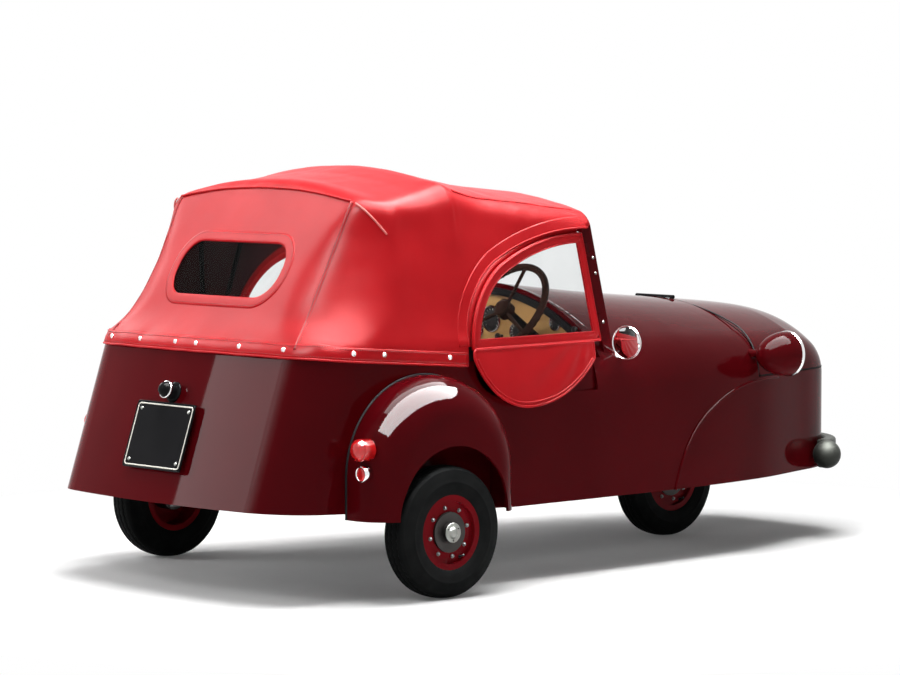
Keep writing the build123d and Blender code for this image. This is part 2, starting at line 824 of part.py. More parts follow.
# Round lamps and reflectors on the rear faces of the wings
wing_lamp_out = 85
wing_lamp_y = body_half + wing_lamp_out
wing_rear_x = station(wing_centre - wing_radius)
wing_lamp_columns = ("z", "radius", "reach")
wing_lamp_rows = ((470, 33, 26), (398, 25, 12))
for name, row in zip(("tail_lamps", "reflectors"), wing_lamp_rows):
    z, radius, reach = [dict(zip(wing_lamp_columns, row))[column] for column in wing_lamp_columns]
    with BuildPart() as wing_lamp:
        for side in sides.values():
            with Locations(Location((wing_rear_x - reach, side * wing_lamp_y, z), (0, 90, 0))):
                Cylinder(radius, wing_radius / 2, align=(Align.CENTER, Align.CENTER, Align.MIN))
        add(wing_form(0), mode=Mode.SUBTRACT)
        mirrored_wing = wing_form(0).mirror(Plane.XZ)
        add(mirrored_wing, mode=Mode.SUBTRACT)
        with Locations((wing_rear_x + wing_radius / 2 + reach, 0, z)):
            Box(wing_radius / 2, far, 4 * radius, mode=Mode.SUBTRACT)
    write(name, wing_lamp)

# Windscreen: a flat frame that leans back, with its glass down to the scuttle
lean = degrees(atan((screen_base_station - screen_top_station) / (screen_top_z - screen_base_z)))
screen_plane = Plane(
    (station(screen_base_station), 0, screen_base_z),
    x_dir=(0, 1, 0),
    z_dir=(cos(radians(lean)), 0, sin(radians(lean))),
)
screen_height = hypot(screen_base_station - screen_top_station, screen_top_z - screen_base_z)
screen_tail = 60


def screen_face(inset):
    """Face of the windscreen in its own plane, drawn in by inset at the sides and top."""
    splay = (screen_base_half - screen_top_half) / screen_height
    low_half = screen_base_half + splay * screen_tail - inset
    top_half = screen_top_half + splay * inset - inset
    top = screen_height - inset
    with BuildSketch() as face:
        with BuildLine():
            Polyline((-top_half, top), (-low_half, -screen_tail), (low_half, -screen_tail), (top_half, top))
            ThreePointArc((top_half, top), (0, top + screen_arch), (-top_half, top))
        make_face()
    return face.sketch


hinge_lean = Vector(
    -(screen_base_station - screen_top_station),
    screen_base_half - screen_top_half,
    screen_top_z - screen_base_z,
).normalized()


def hinge_axis(side, z):
    """Plane on a side screen's hinge line at this height: its z runs up the line."""
    up = Vector(hinge_lean.X, -side * hinge_lean.Y, hinge_lean.Z)
    rise = (z - hinge_z) / up.Z
    foot = Vector(station(hinge_station), side * hinge_half, hinge_z) + up * rise
    return Plane(foot, x_dir=(1, 0, 0), z_dir=up)


lug_length = 10
lug_reach = 24
with BuildPart() as windscreen_frame:
    with BuildSketch(screen_plane.offset(-post_depth / 2)):
        add(screen_face(0))
        add(screen_face(post_width), mode=Mode.SUBTRACT)
    extrude(amount=post_depth)
    add(front_outer, mode=Mode.SUBTRACT)
    for side in sides.values():
        for z in hinge_heights:
            plane = hinge_axis(side, z)
            lug_offset = hinge_eye_length / 2 + seat_gap + lug_length / 2
            for shift in (lug_offset, -lug_offset):
                with Locations(plane.offset(shift)):
                    Cylinder(hinge_eye_radius, lug_length)
                    with Locations((2 * hinge_eye_radius, -side * hinge_eye_radius, 0)):
                        Box(lug_reach, 2 * hinge_eye_radius, lug_length)
            with Locations(plane):
                Cylinder(hinge_pin_radius, hinge_eye_length + 2 * lug_length)
write("windscreen_frame", windscreen_frame)
with BuildPart() as windscreen_glass:
    with BuildSketch(screen_plane.offset(-glass_thick / 2)):
        add(screen_face(post_width))
    extrude(amount=glass_thick)
    add(front_outer, mode=Mode.SUBTRACT)
write("windscreen_glass", windscreen_glass)


# Side screen outline seen from the side, as station and height, in two arcs above a straight lower rail
screen_rail_z = 742
screen_front_setback = 63
screen_heel_setback = 17
screen_toe_reach = 2
screen_front = (hinge_station - screen_front_setback, 1093)
screen_turn = (352, 1000)
screen_heel = (entry_rear_station - screen_heel_setback, screen_rail_z)
screen_toe = (hinge_station + screen_toe_reach, screen_rail_z)
screen_top_bulge = 25
screen_back_bulge = 40
# Flap below the rail, in two arcs
flap_toe_setback = 48
flap_heel = (screen_heel[0], 716)
flap_low = (440, 556)
flap_toe = (hinge_station - flap_toe_setback, 690)
flap_back_bulge = 44
flap_front_bulge = 35


def screen_outline(grow):
    """Face of a side screen above its rail, grown by this much, in stations and heights."""
    with BuildSketch() as face:
        with BuildLine():
            Polyline(screen_heel, screen_toe, screen_front)
            SagittaArc(screen_front, screen_turn, -screen_top_bulge)
            SagittaArc(screen_turn, screen_heel, -screen_back_bulge)
        make_face()
        if grow:
            offset(amount=grow)
    return face.sketch


def flap_outline():
    """Face of the flap below a side screen's rail."""
    with BuildSketch() as face:
        with BuildLine():
            lap_z = screen_rail_z + frame_lap
            Polyline(flap_toe, (flap_toe[0], lap_z), (flap_heel[0], lap_z), flap_heel)
            SagittaArc(flap_heel, flap_low, -flap_back_bulge)
            SagittaArc(flap_low, flap_toe, -flap_front_bulge)
        make_face()
    return face.sketch


def side_prism(outline, low, high):
    """Solid of an outline seen from the side, from Y low to Y high."""
    with BuildPart() as prism:
        with BuildSketch(Plane((rear_axle_x, high, 0), x_dir=(1, 0, 0), z_dir=(0, -1, 0))):
            add(outline)
        extrude(amount=high - low)
    return prism.part


# Hood: one skin over the roof, rear and rear quarters, with the side and rear window openings cut
def window_prism(inset):
    """Solid through the rear window's outline, drawn in by inset."""
    height = window_high_z - window_low_z
    with BuildPart() as prism:
        with BuildSketch(Plane.YZ.offset(station(hood_sections[0]["rear"]))):
            with Locations((0, (window_low_z + window_high_z) / 2)):
                RectangleRounded(2 * (window_half - inset), height - 2 * inset, window_corner - inset)
        extrude(amount=rear_overhang)
    return prism.part


with BuildPart() as hood:
    add(hood_form(0))
    add(hood_form(hood_thick), mode=Mode.SUBTRACT)
    add(below_belt, mode=Mode.SUBTRACT)
    add(side_prism(screen_outline(hood_edge_gap), -far / 2, far / 2), mode=Mode.SUBTRACT)
    with Locations((station(hood_front_station), 0, screen_rail_z)):
        Box(2 * (hood_front_station - screen_heel[0] + hood_edge_gap), far, screen_rail_z, mode=Mode.SUBTRACT)
    add(window_prism(0), mode=Mode.SUBTRACT)
write("hood", hood)
window_set = (hood_thick - window_thick) / 2
with BuildPart() as rear_window:
    add(hood_form(window_set))
    add(hood_form(window_set + window_thick), mode=Mode.SUBTRACT)
    add(window_prism(seat_gap), mode=Mode.INTERSECT)
write("rear_window", rear_window)

# Hood bows on the body sides
bow_columns = ("foot", "top", "top_z", "draw_in")
bow_rows = ((60, -80, 1188, 188), (110, 190, 1204, 122))
bow_feet_z = 660
with BuildPart() as hood_bows:
    for row in bow_rows:
        bow = dict(zip(bow_columns, row))
        foot_x = station(bow["foot"])
        top_x = station(bow["top"])
        top_z = bow["top_z"]
        top_y = body_half - bow["draw_in"]
        foot_y = body_half - skin - bow_radius - seat_gap
        with BuildLine() as path:
            FilletPolyline(
                (foot_x, -foot_y, bow_feet_z),
                (foot_x, -foot_y, belt_z),
                (top_x, -top_y, top_z),
                (top_x, top_y, top_z),
                (foot_x, foot_y, belt_z),
                (foot_x, foot_y, bow_feet_z),
                radius=bow_bend,
            )
        with BuildSketch(Plane(path.line @ 0, z_dir=path.line % 0)):
            Circle(bow_radius)
        sweep(path=path.line)
write("hood_bows", hood_bows)

# Dashboard under the scuttle's rear edge, with a padded roll along its top
dash_setback = 14
dash_station = scuttle_station + dash_setback
dash_thick = 16
dash_low_z = 640
column_radius = 16
wheel_setback = 146
wheel_station = dash_station - wheel_setback
wheel_y = -230
wheel_z = 835
column_fall = radians(35)
column_dir = Vector(cos(column_fall), 0, -sin(column_fall))
column_plane = Plane((station(wheel_station), wheel_y, wheel_z), x_dir=(0, 1, 0), z_dir=column_dir)
column_length = 420
hub_depth = 34
spigot_radius = 8
with BuildPart() as dashboard:
    add(front_inner)
    with Locations((station(dash_station) + dash_thick / 2, 0, dash_low_z + far / 2)):
        Box(dash_thick, far, far, mode=Mode.INTERSECT)
    with Locations(column_plane):
        Cylinder(column_radius + seat_gap, far, mode=Mode.SUBTRACT)
write("dashboard", dashboard)
roll_depth = 26
roll_height = 22
roll_gap = 0.5
with BuildPart() as dash_roll:
    add(front_form(skin + roll_gap, sill_z))
    add(front_form(skin + roll_gap + roll_height, sill_z - skin), mode=Mode.SUBTRACT)
    roll_x = station(dash_station) - seat_gap - roll_depth / 2
    with Locations((roll_x, 0, scuttle_side_z + panel_gap + far / 2)):
        Box(roll_depth, far, far, mode=Mode.INTERSECT)
write("dash_roll", dash_roll)
with BuildPart(column_plane) as steering_column:
    with Locations((0, 0, hub_depth / 2 + seat_gap + column_length / 2)):
        Cylinder(column_radius, column_length)
    with Locations((0, 0, hub_depth / 2)):
        Cylinder(spigot_radius, hub_depth)
write("steering_column", steering_column)
wheel_radius = 178
wheel_grip = 12
hub_outer = 30
spoke_count = 3
spoke_radius = 6
with BuildPart(column_plane) as steering_wheel:
    Cylinder(hub_outer, hub_depth)
    Torus(wheel_radius - wheel_grip, wheel_grip)
    with PolarLocations(0, spoke_count, 90):
        with Locations(Location((wheel_radius / 2, 0, 0), (0, 90, 0))):
            Cylinder(spoke_radius, wheel_radius - wheel_grip)
    with Locations((0, 0, hub_depth / 4)):
        Cylinder(spigot_radius + running_gap, hub_depth, mode=Mode.SUBTRACT)
write("steering_wheel", steering_wheel)

# Bench seat
seat_front = 470
seat_rear = 70
seat_side_gap = 54
seat_half = body_half - skin - seat_side_gap
seat_round = 30
seat_thick = 150
seat_top_z = floor_z + floor_thick + seat_thick
back_thick = 110
back_top_z = 790
back_lean = 70
with BuildPart() as seat_cushion:
    with Locations((station((seat_front + seat_rear) / 2), 0, seat_top_z - seat_thick / 2)):
        Box(seat_front - seat_rear, 2 * seat_half, seat_thick)
    fillet(seat_cushion.faces().sort_by(Axis.Z)[-1].edges(), seat_round)
write("seat_cushion", seat_cushion)
with BuildPart() as seat_back:
    low = floor_z + floor_thick
    with BuildSketch(Plane.XZ.offset(-seat_half)):
        with BuildLine():
            Polyline(
                (station(seat_rear) - seat_gap, low),
                (station(seat_rear) - seat_gap - back_lean, back_top_z),
                (station(seat_rear) - back_lean - back_thick, back_top_z),
                (station(seat_rear) - back_thick, low),
                close=True,
            )
        make_face()
    extrude(amount=2 * seat_half)
    fillet(seat_back.faces().sort_by(Axis.Z)[-1].edges(), seat_round)
write("seat_back", seat_back)

# Mirror on the right
mirror_setback = 110
mirror_out = 12
mirror_z = 737
mirror_radius = 54
mirror_thick = 22
mirror_turn = 15
mirror_drop = 70
mirror_arm_sweep = 20
mirror_arm_length = 120
mirror_arm_radius = 6
mirror_x = station(cowl_station + mirror_setback)
mirror_y = -(body_half + mirror_out)
with BuildPart() as mirror_unit:
    with Locations(Location((mirror_x, mirror_y, mirror_z), (0, 90, mirror_turn))):
        Cylinder(mirror_radius, mirror_thick)
    with BuildLine() as arm:
        arm_foot = (mirror_x + mirror_arm_sweep, mirror_y + mirror_arm_length, mirror_z - mirror_drop)
        Line((mirror_x, mirror_y, mirror_z), arm_foot)
    with BuildSketch(Plane(arm.line @ 0, z_dir=arm.line % 0)):
        Circle(mirror_arm_radius)
    sweep(path=arm.line)
    add(front_outer, mode=Mode.SUBTRACT)
write("mirror", mirror_unit)

# Side screens: a bordered cover with a flap below, and a clear pane
heel_out = 12
flap_out = 16
flap_toe_inset = 27
flap_flare = 22
eye_leaf = 16
eye_leaf_thick = 10


def leaning_slab(points, thick):
    """Thick plate through three points."""
    first, second, third = points
    normal = (second - first).cross(third - first).normalized()
    plane = Plane(first, x_dir=(second - first).normalized(), z_dir=normal)
    with BuildPart(plane) as slab:
        Box(far, far, thick)
    return slab.part


for name, side in sides.items():
    low, high = sorted((0, side * far / 2))
    heel_x = station(screen_heel[0])
    cover_points = (
        hinge_axis(side, hinge_heights[0]).origin,
        hinge_axis(side, hinge_heights[1]).origin,
        Vector(heel_x, side * (body_half + heel_out), screen_rail_z),
    )
    flap_points = (
        Vector(heel_x, side * (body_half + flap_out), screen_rail_z),
        Vector(station(cowl_station), side * (cowl_half - flap_toe_inset), screen_rail_z),
        Vector(station(flap_low[0]), side * (body_half + flap_flare), flap_low[1]),
    )
    with BuildPart() as flap:
        add(leaning_slab(flap_points, cover_thick))
        add(side_prism(flap_outline(), low, high), mode=Mode.INTERSECT)
    with BuildPart() as cover:
        add(leaning_slab(cover_points, cover_thick))
        add(side_prism(screen_outline(0), low, high), mode=Mode.INTERSECT)
        add(side_prism(screen_outline(-frame_border), low, high), mode=Mode.SUBTRACT)
        add(flap.part)
        for z in hinge_heights:
            with Locations(hinge_axis(side, z)):
                Cylinder(hinge_eye_radius, hinge_eye_length)
                with Locations((-eye_leaf / 2 - hinge_pin_radius, 0, 0)):
                    Box(eye_leaf, eye_leaf_thick, hinge_eye_length)
                Cylinder(hinge_pin_radius + running_gap, hinge_eye_length, mode=Mode.SUBTRACT)
    write(f"side_screen_{name}", cover)
    with BuildPart() as pane:
        add(leaning_slab(cover_points, pane_thick))
        add(side_prism(screen_outline(-frame_border), low, high), mode=Mode.INTERSECT)
    write(f"side_pane_{name}", pane)
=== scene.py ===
import math

import bmesh
import bpy
import numpy as np
from mathutils import Matrix, Vector, noise


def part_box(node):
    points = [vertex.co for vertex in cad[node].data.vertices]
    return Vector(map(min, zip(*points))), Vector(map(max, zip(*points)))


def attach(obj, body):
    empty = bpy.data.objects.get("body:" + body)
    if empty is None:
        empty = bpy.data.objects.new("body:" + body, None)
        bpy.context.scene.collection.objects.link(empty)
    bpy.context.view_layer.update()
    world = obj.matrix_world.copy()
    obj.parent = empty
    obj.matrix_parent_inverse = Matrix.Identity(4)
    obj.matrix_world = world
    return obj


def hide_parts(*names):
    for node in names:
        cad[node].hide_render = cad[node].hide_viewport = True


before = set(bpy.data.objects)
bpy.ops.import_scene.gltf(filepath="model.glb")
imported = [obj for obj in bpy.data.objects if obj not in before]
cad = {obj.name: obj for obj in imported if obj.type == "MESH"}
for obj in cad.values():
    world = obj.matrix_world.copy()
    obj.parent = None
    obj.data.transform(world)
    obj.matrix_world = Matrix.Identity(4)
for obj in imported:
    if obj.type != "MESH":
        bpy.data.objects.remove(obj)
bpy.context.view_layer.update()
scene = bpy.context.scene

# Places below are in millimetres: stations run forward from the rear axle, y to the car's left and z up
MM = 0.001
tyre_low, tyre_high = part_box("rear_right_tyre")
rear_axle_x = (tyre_low.x + tyre_high.x) / 2
wheelbase = 1651
tyre_radius = 203.5
wheel_y = 686
SIDES = {"right": -1, "left": 1}


def metres(points):
    """Points in stations and millimetres as metres in the car's frame."""
    return np.asarray(points, float) * MM + (rear_axle_x, 0, 0)


def show(name, data):
    """New object in the scene with this mesh, light or camera."""
    piece = bpy.data.objects.new(name, data)
    scene.collection.objects.link(piece)
    return piece


def piece_of(name, points, faces, material, smooth=True):
    """New mesh object from points in millimetres."""
    mesh = bpy.data.meshes.new(name)
    mesh.from_pydata(metres(points).tolist(), [], [tuple(int(i) for i in face) for face in faces])
    mesh.polygons.foreach_set("use_smooth", [smooth] * len(mesh.polygons))
    mesh.materials.append(material)
    return show(name, mesh)


def outward(piece):
    """Merges doubles and points a closed piece's faces outwards."""
    work = bmesh.new()
    work.from_mesh(piece.data)
    bmesh.ops.remove_doubles(work, verts=work.verts, dist=0.02 * MM)
    bmesh.ops.recalc_face_normals(work, faces=work.faces)
    work.to_mesh(piece.data)
    work.free()
    return piece


def settle(piece, body, slot, *stands_for):
    """Puts a finished piece on its body and hides the nodes that it stands for; the slot is not used."""
    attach(piece, body)
    if stands_for:
        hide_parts(*stands_for)


def joined(name, pieces):
    """One object from several pieces of the same body."""
    points, faces, materials, picks = [], [], [], []
    for piece in pieces:
        mesh = piece.data
        start = len(points)
        points.extend(tuple(vertex.co) for vertex in mesh.vertices)
        for material in mesh.materials:
            if material not in materials:
                materials.append(material)
        for polygon in mesh.polygons:
            faces.append([start + i for i in polygon.vertices])
            picks.append((materials.index(mesh.materials[polygon.material_index]), polygon.use_smooth))
        bpy.data.objects.remove(piece)
    mesh = bpy.data.meshes.new(name)
    mesh.from_pydata(points, [], faces)
    for material in materials:
        mesh.materials.append(material)
    mesh.polygons.foreach_set("material_index", [pick[0] for pick in picks])
    mesh.polygons.foreach_set("use_smooth", [pick[1] for pick in picks])
    return show(name, mesh)


def unit(vectors):
    """Vectors at length one."""
    vectors = np.asarray(vectors, float)
    return vectors / np.maximum(np.linalg.norm(vectors, axis=-1, keepdims=True), 1e-9)


def grid_faces(rows, columns, close_rows=False, close_columns=False):
    """Quads of a grid whose points run along columns first."""
    faces = []
    for row in range(rows if close_rows else rows - 1):
        below, above = row * columns, (row + 1) % rows * columns
        for column in range(columns if close_columns else columns - 1):
            beside = (column + 1) % columns
            faces.append((below + column, below + beside, above + beside, above + column))
    return faces


def lathe(name, profile, centre, axis, material, steps=48):
    """Piece turned about an axis from a profile of distances along it and radii."""
    axis = unit(axis)
    aside = unit(np.cross(axis, (0.0, 0.3, 1.0) if abs(axis[2]) < 0.9 else (1.0, 0.0, 0.0)))
    third = np.cross(axis, aside)
    angles = np.arange(steps) * 2 * math.pi / steps
    spokes = np.outer(np.cos(angles), aside) + np.outer(np.sin(angles), third)
    points = [np.asarray(centre, float) + along * axis + radius * spokes for along, radius in profile]
    faces = grid_faces(len(profile), steps, close_columns=True)
    return outward(piece_of(name, np.concatenate(points), faces, material))


def sweep(name, path, ups, profile, material, closed=False):
    """Piece that carries a closed profile of across and up sizes along a path."""
    path, ups = np.asarray(path, float), np.asarray(ups, float)
    if closed:
        along = np.roll(path, -1, axis=0) - np.roll(path, 1, axis=0)
    else:
        along = np.gradient(path, axis=0)
    along = unit(along)
    across = unit(np.cross(along, ups))
    ups = np.cross(across, along)
    profile = np.asarray(profile, float)
    points = path[:, None] + profile[None, :, :1] * across[:, None] + profile[None, :, 1:] * ups[:, None]
    count = len(profile)
    faces = grid_faces(len(path), count, close_rows=closed, close_columns=True)
    if not closed:
        faces.append(tuple(range(count)))
        faces.append(tuple(range((len(path) - 1) * count, len(path) * count)))
    return outward(piece_of(name, points.reshape(-1, 3), faces, material))


def round_profile(radius, steps=10, lift=0.0):
    """Circle as a profile for a sweep."""
    angles = np.arange(steps) * 2 * math.pi / steps
    return [(radius * math.cos(angle), radius * math.sin(angle) + lift) for angle in angles]


def strip(name, rows, material):
    """Closed strip through rows of points, with capped ends."""
    count = len(rows[0])
    faces = grid_faces(len(rows), count, close_rows=True)
    faces.append(tuple(k * count for k in range(len(rows))))
    faces.append(tuple((k + 1) * count - 1 for k in range(len(rows))))
    return outward(piece_of(name, np.concatenate(rows), faces, material))


def bead(name, path, ups, radius, material, slot, steps=8, closed=False):
    """Round bead along a path, fixed to the car's body."""
    settle(sweep(name, path, ups, round_profile(radius, steps), material, closed), "body", slot)


def turned(name, profile, centre, axis, material, slot, steps=48, body="body"):
    """Turned piece, fixed to one of the car's bodies."""
    settle(lathe(name, profile, centre, axis, material, steps), body, slot)


def even(points, spacing, closed=False):
    """Points at even spacing along a polyline."""
    points = np.asarray(points, float)
    if closed:
        points = np.concatenate([points, points[:1]])
    steps = np.linalg.norm(np.diff(points, axis=0), axis=1)
    run = np.concatenate([[0], np.cumsum(steps)])
    count = max(2, int(round(run[-1] / spacing)) + 1)
    marks = np.linspace(0, run[-1], count)
    spread = np.stack([np.interp(marks, run, points[:, k]) for k in range(points.shape[1])], axis=1)
    return spread[:-1] if closed else spread


def bulged(start, end, bulge, steps=24):
    """Arc between two points of a plane, standing out to the right of the way by bulge."""
    start, end = np.asarray(start, float), np.asarray(end, float)
    chord = end - start
    length = np.linalg.norm(chord)
    right = np.array([chord[1], -chord[0]]) / length
    radius = (length**2 / 4 + bulge**2) / (2 * bulge)
    centre = (start + end) / 2 + right * (bulge - radius)
    half = math.asin(length / 2 / radius)
    turns = np.linspace(-half, half, steps)
    forward = chord / length
    return centre + radius * (np.outer(np.sin(turns), forward) + np.outer(np.cos(turns), right))


# Finishes
class Finish:
    """Procedural material on a piece's own Object coordinates."""

    def __init__(self, name, **sockets):
        self.material = bpy.data.materials.new(name)
        self.material.use_nodes = True
        self.tree = self.material.node_tree
        self.shader = self.tree.nodes["Principled BSDF"]
        self.place = self.tree.nodes.new("ShaderNodeTexCoord").outputs["Object"]
        for socket, value in sockets.items():
            self.shader.inputs[socket.replace("_", " ")].default_value = value

    def node(self, kind, **values):
        """New node with its inputs set or linked by name."""
        node = self.tree.nodes.new(kind)
        for name, value in values.items():
            socket = node.inputs[name.replace("_", " ")]
            if isinstance(value, bpy.types.NodeSocket):
                self.tree.links.new(value, socket)
            else:
                socket.default_value = value
        return node

    def stretched(self, scale):
        """Object coordinates with their own scale along each axis."""
        return self.node("ShaderNodeMapping", Vector=self.place, Scale=scale).outputs["Vector"]

    def grain(self, scale, detail=3.0, place=None):
        """Noise of this many turns to the metre."""
        texture = self.node("ShaderNodeTexNoise", Vector=place or self.place, Scale=scale, Detail=detail)
        return texture.outputs["Fac"]

    def cells(self, scale):
        """Cell pattern, as in a pebbled skin."""
        return self.node("ShaderNodeTexVoronoi", Vector=self.place, Scale=scale).outputs["Distance"]

    def waves(self, scale, distortion, place=None):
        """Bands, as in wood."""
        sockets = {"Vector": place or self.place, "Scale": scale, "Distortion": distortion}
        return self.node("ShaderNodeTexWave", **sockets).outputs["Fac"]

    def colours(self, factor, *stops):
        """Base colour that runs through these stops, given as place and colour."""
        ramp = self.tree.nodes.new("ShaderNodeValToRGB")
        self.tree.links.new(factor, ramp.inputs["Fac"])
        elements = ramp.color_ramp.elements
        for index, (position, colour) in enumerate(stops):
            element = elements[index] if index < 2 else elements.new(position)
            element.position = position
            element.color = (*colour, 1)
        self.tree.links.new(ramp.outputs["Color"], self.shader.inputs["Base Color"])

    def rough(self, factor, low, high):
        """Roughness between two values."""
        spread = self.node("ShaderNodeMapRange", Value=factor, To_Min=low, To_Max=high)
        self.tree.links.new(spread.outputs["Result"], self.shader.inputs["Roughness"])

    def relief(self, height, depth, strength=1.0):
        """Bump of this depth in metres."""
        last = self.shader.inputs["Normal"]
        bump = self.node("ShaderNodeBump", Height=height, Distance=depth, Strength=strength)
        if last.links:
            self.tree.links.new(last.links[0].from_socket, bump.inputs["Normal"])
        self.tree.links.new(bump.outputs["Normal"], last)


def paint(name, dark, light, shine):
    """Gloss paint with a slight orange peel."""
    finish = Finish(name, Coat_Weight=1.0, Coat_Roughness=0.04, Coat_IOR=1.1, Specular_IOR_Level=0.0)
    finish.colours(finish.grain(2.2), (0.35, dark), (0.65, light))
    finish.rough(finish.grain(9.0), shine, shine + 0.12)
    finish.relief(finish.grain(190.0, 2.0), 0.00006)
    return finish.material


def metal(name, dark, light, low, high, scratch=60.0, share=1.0, depth=0.00005):
    """Bare metal with fine rubbing marks."""
    finish = Finish(name, Metallic=share)
    finish.colours(finish.grain(14.0), (0.3, dark), (0.7, light))
    marks = finish.grain(scratch, 4.0, finish.stretched((1.0, 6.0, 6.0)))
    finish.rough(marks, low, high)
    finish.relief(marks, depth)
    return finish.material


def vinyl(name, dark, light, shine):
    """Coated cloth with a fine pebbled grain."""
    finish = Finish(name, IOR=1.13)
    finish.colours(finish.grain(5.0, 5.0), (0.3, dark), (0.7, light))
    finish.rough(finish.grain(26.0), shine, shine + 0.1)
    finish.relief(finish.cells(620.0), 0.00012, 0.5)
    finish.relief(finish.grain(38.0, 4.0), 0.0005, 0.35)
    return finish.material


def clear(name, tint, bend, low, high):
    """Clear sheet with faint smears."""
    finish = Finish(name, Transmission_Weight=1.0, IOR=bend)
    finish.colours(finish.grain(6.0), (0.4, tint), (0.6, tuple(min(1.0, part * 1.03) for part in tint)))
    finish.rough(finish.grain(11.0, 5.0), low, high)
    return finish.material


def matt(name, shine, marks, dark, light, wear, low, high):
    """Dull finish with mottled colour and roughness."""
    finish = Finish(name, Specular_IOR_Level=shine)
    finish.colours(finish.grain(marks), (0.3, dark), (0.7, light))
    finish.rough(finish.grain(wear), low, high)
    return finish.material


body_paint = paint("maroon_paint", (0.056, 0.0012, 0.0026), (0.070, 0.0017, 0.0034), 0.3)
wheel_paint = paint("wheel_red_paint", (0.125, 0.0028, 0.0055), (0.16, 0.0042, 0.0075), 0.34)
black_paint = paint("black_paint", (0.008, 0.008, 0.009), (0.014, 0.014, 0.015), 0.34)
brown_plastic = paint("dark_brown_plastic", (0.020, 0.010, 0.008), (0.032, 0.015, 0.011), 0.26)
red_vinyl = vinyl("red_hood_vinyl", (0.39, 0.0065, 0.010), (0.46, 0.0090, 0.013), 0.27)
# Pale pink vinyl for the cheek piping: its light colour is a painted highlight along the piping, not the
# vinyl's own colour
highlight_piping = vinyl("highlight_piping_vinyl", (0.62, 0.16, 0.15), (0.74, 0.24, 0.22), 0.36)
hood_lining = vinyl("dark_hood_lining", (0.030, 0.008, 0.010), (0.046, 0.012, 0.014), 0.6)
piping_vinyl = vinyl("red_piping_vinyl", (0.40, 0.009, 0.013), (0.48, 0.012, 0.017), 0.32)
seat_leather = vinyl("dark_red_seat_leather", (0.16, 0.012, 0.014), (0.22, 0.018, 0.02), 0.44)
black_leather = vinyl("black_roll_leather", (0.010, 0.010, 0.011), (0.018, 0.018, 0.019), 0.42)
dull_aluminium = metal("dull_aluminium", (0.024, 0.025, 0.0225), (0.036, 0.038, 0.034), 0.5, 0.6, depth=2e-5)
hub_metal = metal(
    "grey_hub_metal", (0.024, 0.021, 0.020), (0.040, 0.036, 0.034), 0.34, 0.46, share=0.8, depth=1e-5
)
polished = metal("polished_metal", (0.20, 0.205, 0.19), (0.25, 0.255, 0.235), 0.34, 0.38, 12.0, 0.95, 1e-6)
chrome = metal("chrome", (0.80, 0.80, 0.80), (0.86, 0.86, 0.86), 0.03, 0.09, 25.0, depth=4e-6)
mirror_silver = metal("mirror_silver", (0.78, 0.78, 0.79), (0.82, 0.82, 0.83), 0.01, 0.03, 8.0, depth=1e-6)
steel = metal("steel", (0.14, 0.14, 0.14), (0.20, 0.20, 0.20), 0.35, 0.5)
floor_metal = metal("floor_metal", (0.22, 0.22, 0.22), (0.32, 0.32, 0.32), 0.45, 0.62)
engine_metal = metal("engine_metal", (0.13, 0.13, 0.13), (0.24, 0.24, 0.23), 0.5, 0.7, 90.0)
clear_sheet = clear("clear_sheet", (0.88, 0.89, 0.89), 1.06, 0.01, 0.04)
lamp_glass = clear("lamp_glass", (0.93, 0.95, 0.95), 1.42, 0.02, 0.06)

rubber_finish = Finish("tyre_rubber", Specular_IOR_Level=0.03)
soot, worn_soot = (0.0026, 0.0030, 0.0031), (0.0060, 0.0065, 0.0064)
rubber_finish.colours(rubber_finish.grain(24.0, 5.0), (0.3, soot), (0.7, worn_soot))
rubber_finish.rough(rubber_finish.grain(60.0), 0.5, 0.72)
rubber_finish.relief(rubber_finish.grain(420.0, 2.0), 0.0002, 0.6)
rubber = rubber_finish.material

wood_finish = Finish("tan_dash_wood", Coat_Weight=0.3, Coat_Roughness=0.2)
grain_place = wood_finish.stretched((1.0, 0.16, 1.0))
wood_stops = ((0.0, (0.42, 0.23, 0.075)), (0.5, (0.56, 0.34, 0.12)), (1.0, (0.62, 0.40, 0.16)))
wood_finish.colours(wood_finish.waves(9.0, 9.0, grain_place), *wood_stops)
wood_finish.rough(wood_finish.grain(40.0), 0.38, 0.55)
wood_finish.relief(wood_finish.grain(150.0, 4.0, grain_place), 0.00012)
dash_wood = wood_finish.material

lens_finish = Finish("red_lens", Transmission_Weight=0.08, IOR=1.45, Coat_Weight=0.5, Coat_Roughness=0.03)
lens_finish.colours(lens_finish.grain(30.0), (0.3, (0.52, 0.008, 0.010)), (0.7, (0.66, 0.014, 0.014)))
lens_finish.rough(lens_finish.grain(80.0), 0.08, 0.16)
lens_finish.relief(lens_finish.waves(110.0, 0.0), 0.0004, 0.4)
red_lens = lens_finish.material

thread = matt("dark_thread", 0.3, 300.0, (0.10, 0.008, 0.010), (0.17, 0.012, 0.014), 500.0, 0.6, 0.8)
dial_face = matt("dial_face", 0.4, 50.0, (0.012, 0.012, 0.013), (0.022, 0.022, 0.022), 120.0, 0.35, 0.5)
cream = matt("cream_marks", 0.4, 80.0, (0.66, 0.63, 0.55), (0.76, 0.73, 0.65), 90.0, 0.45, 0.6)

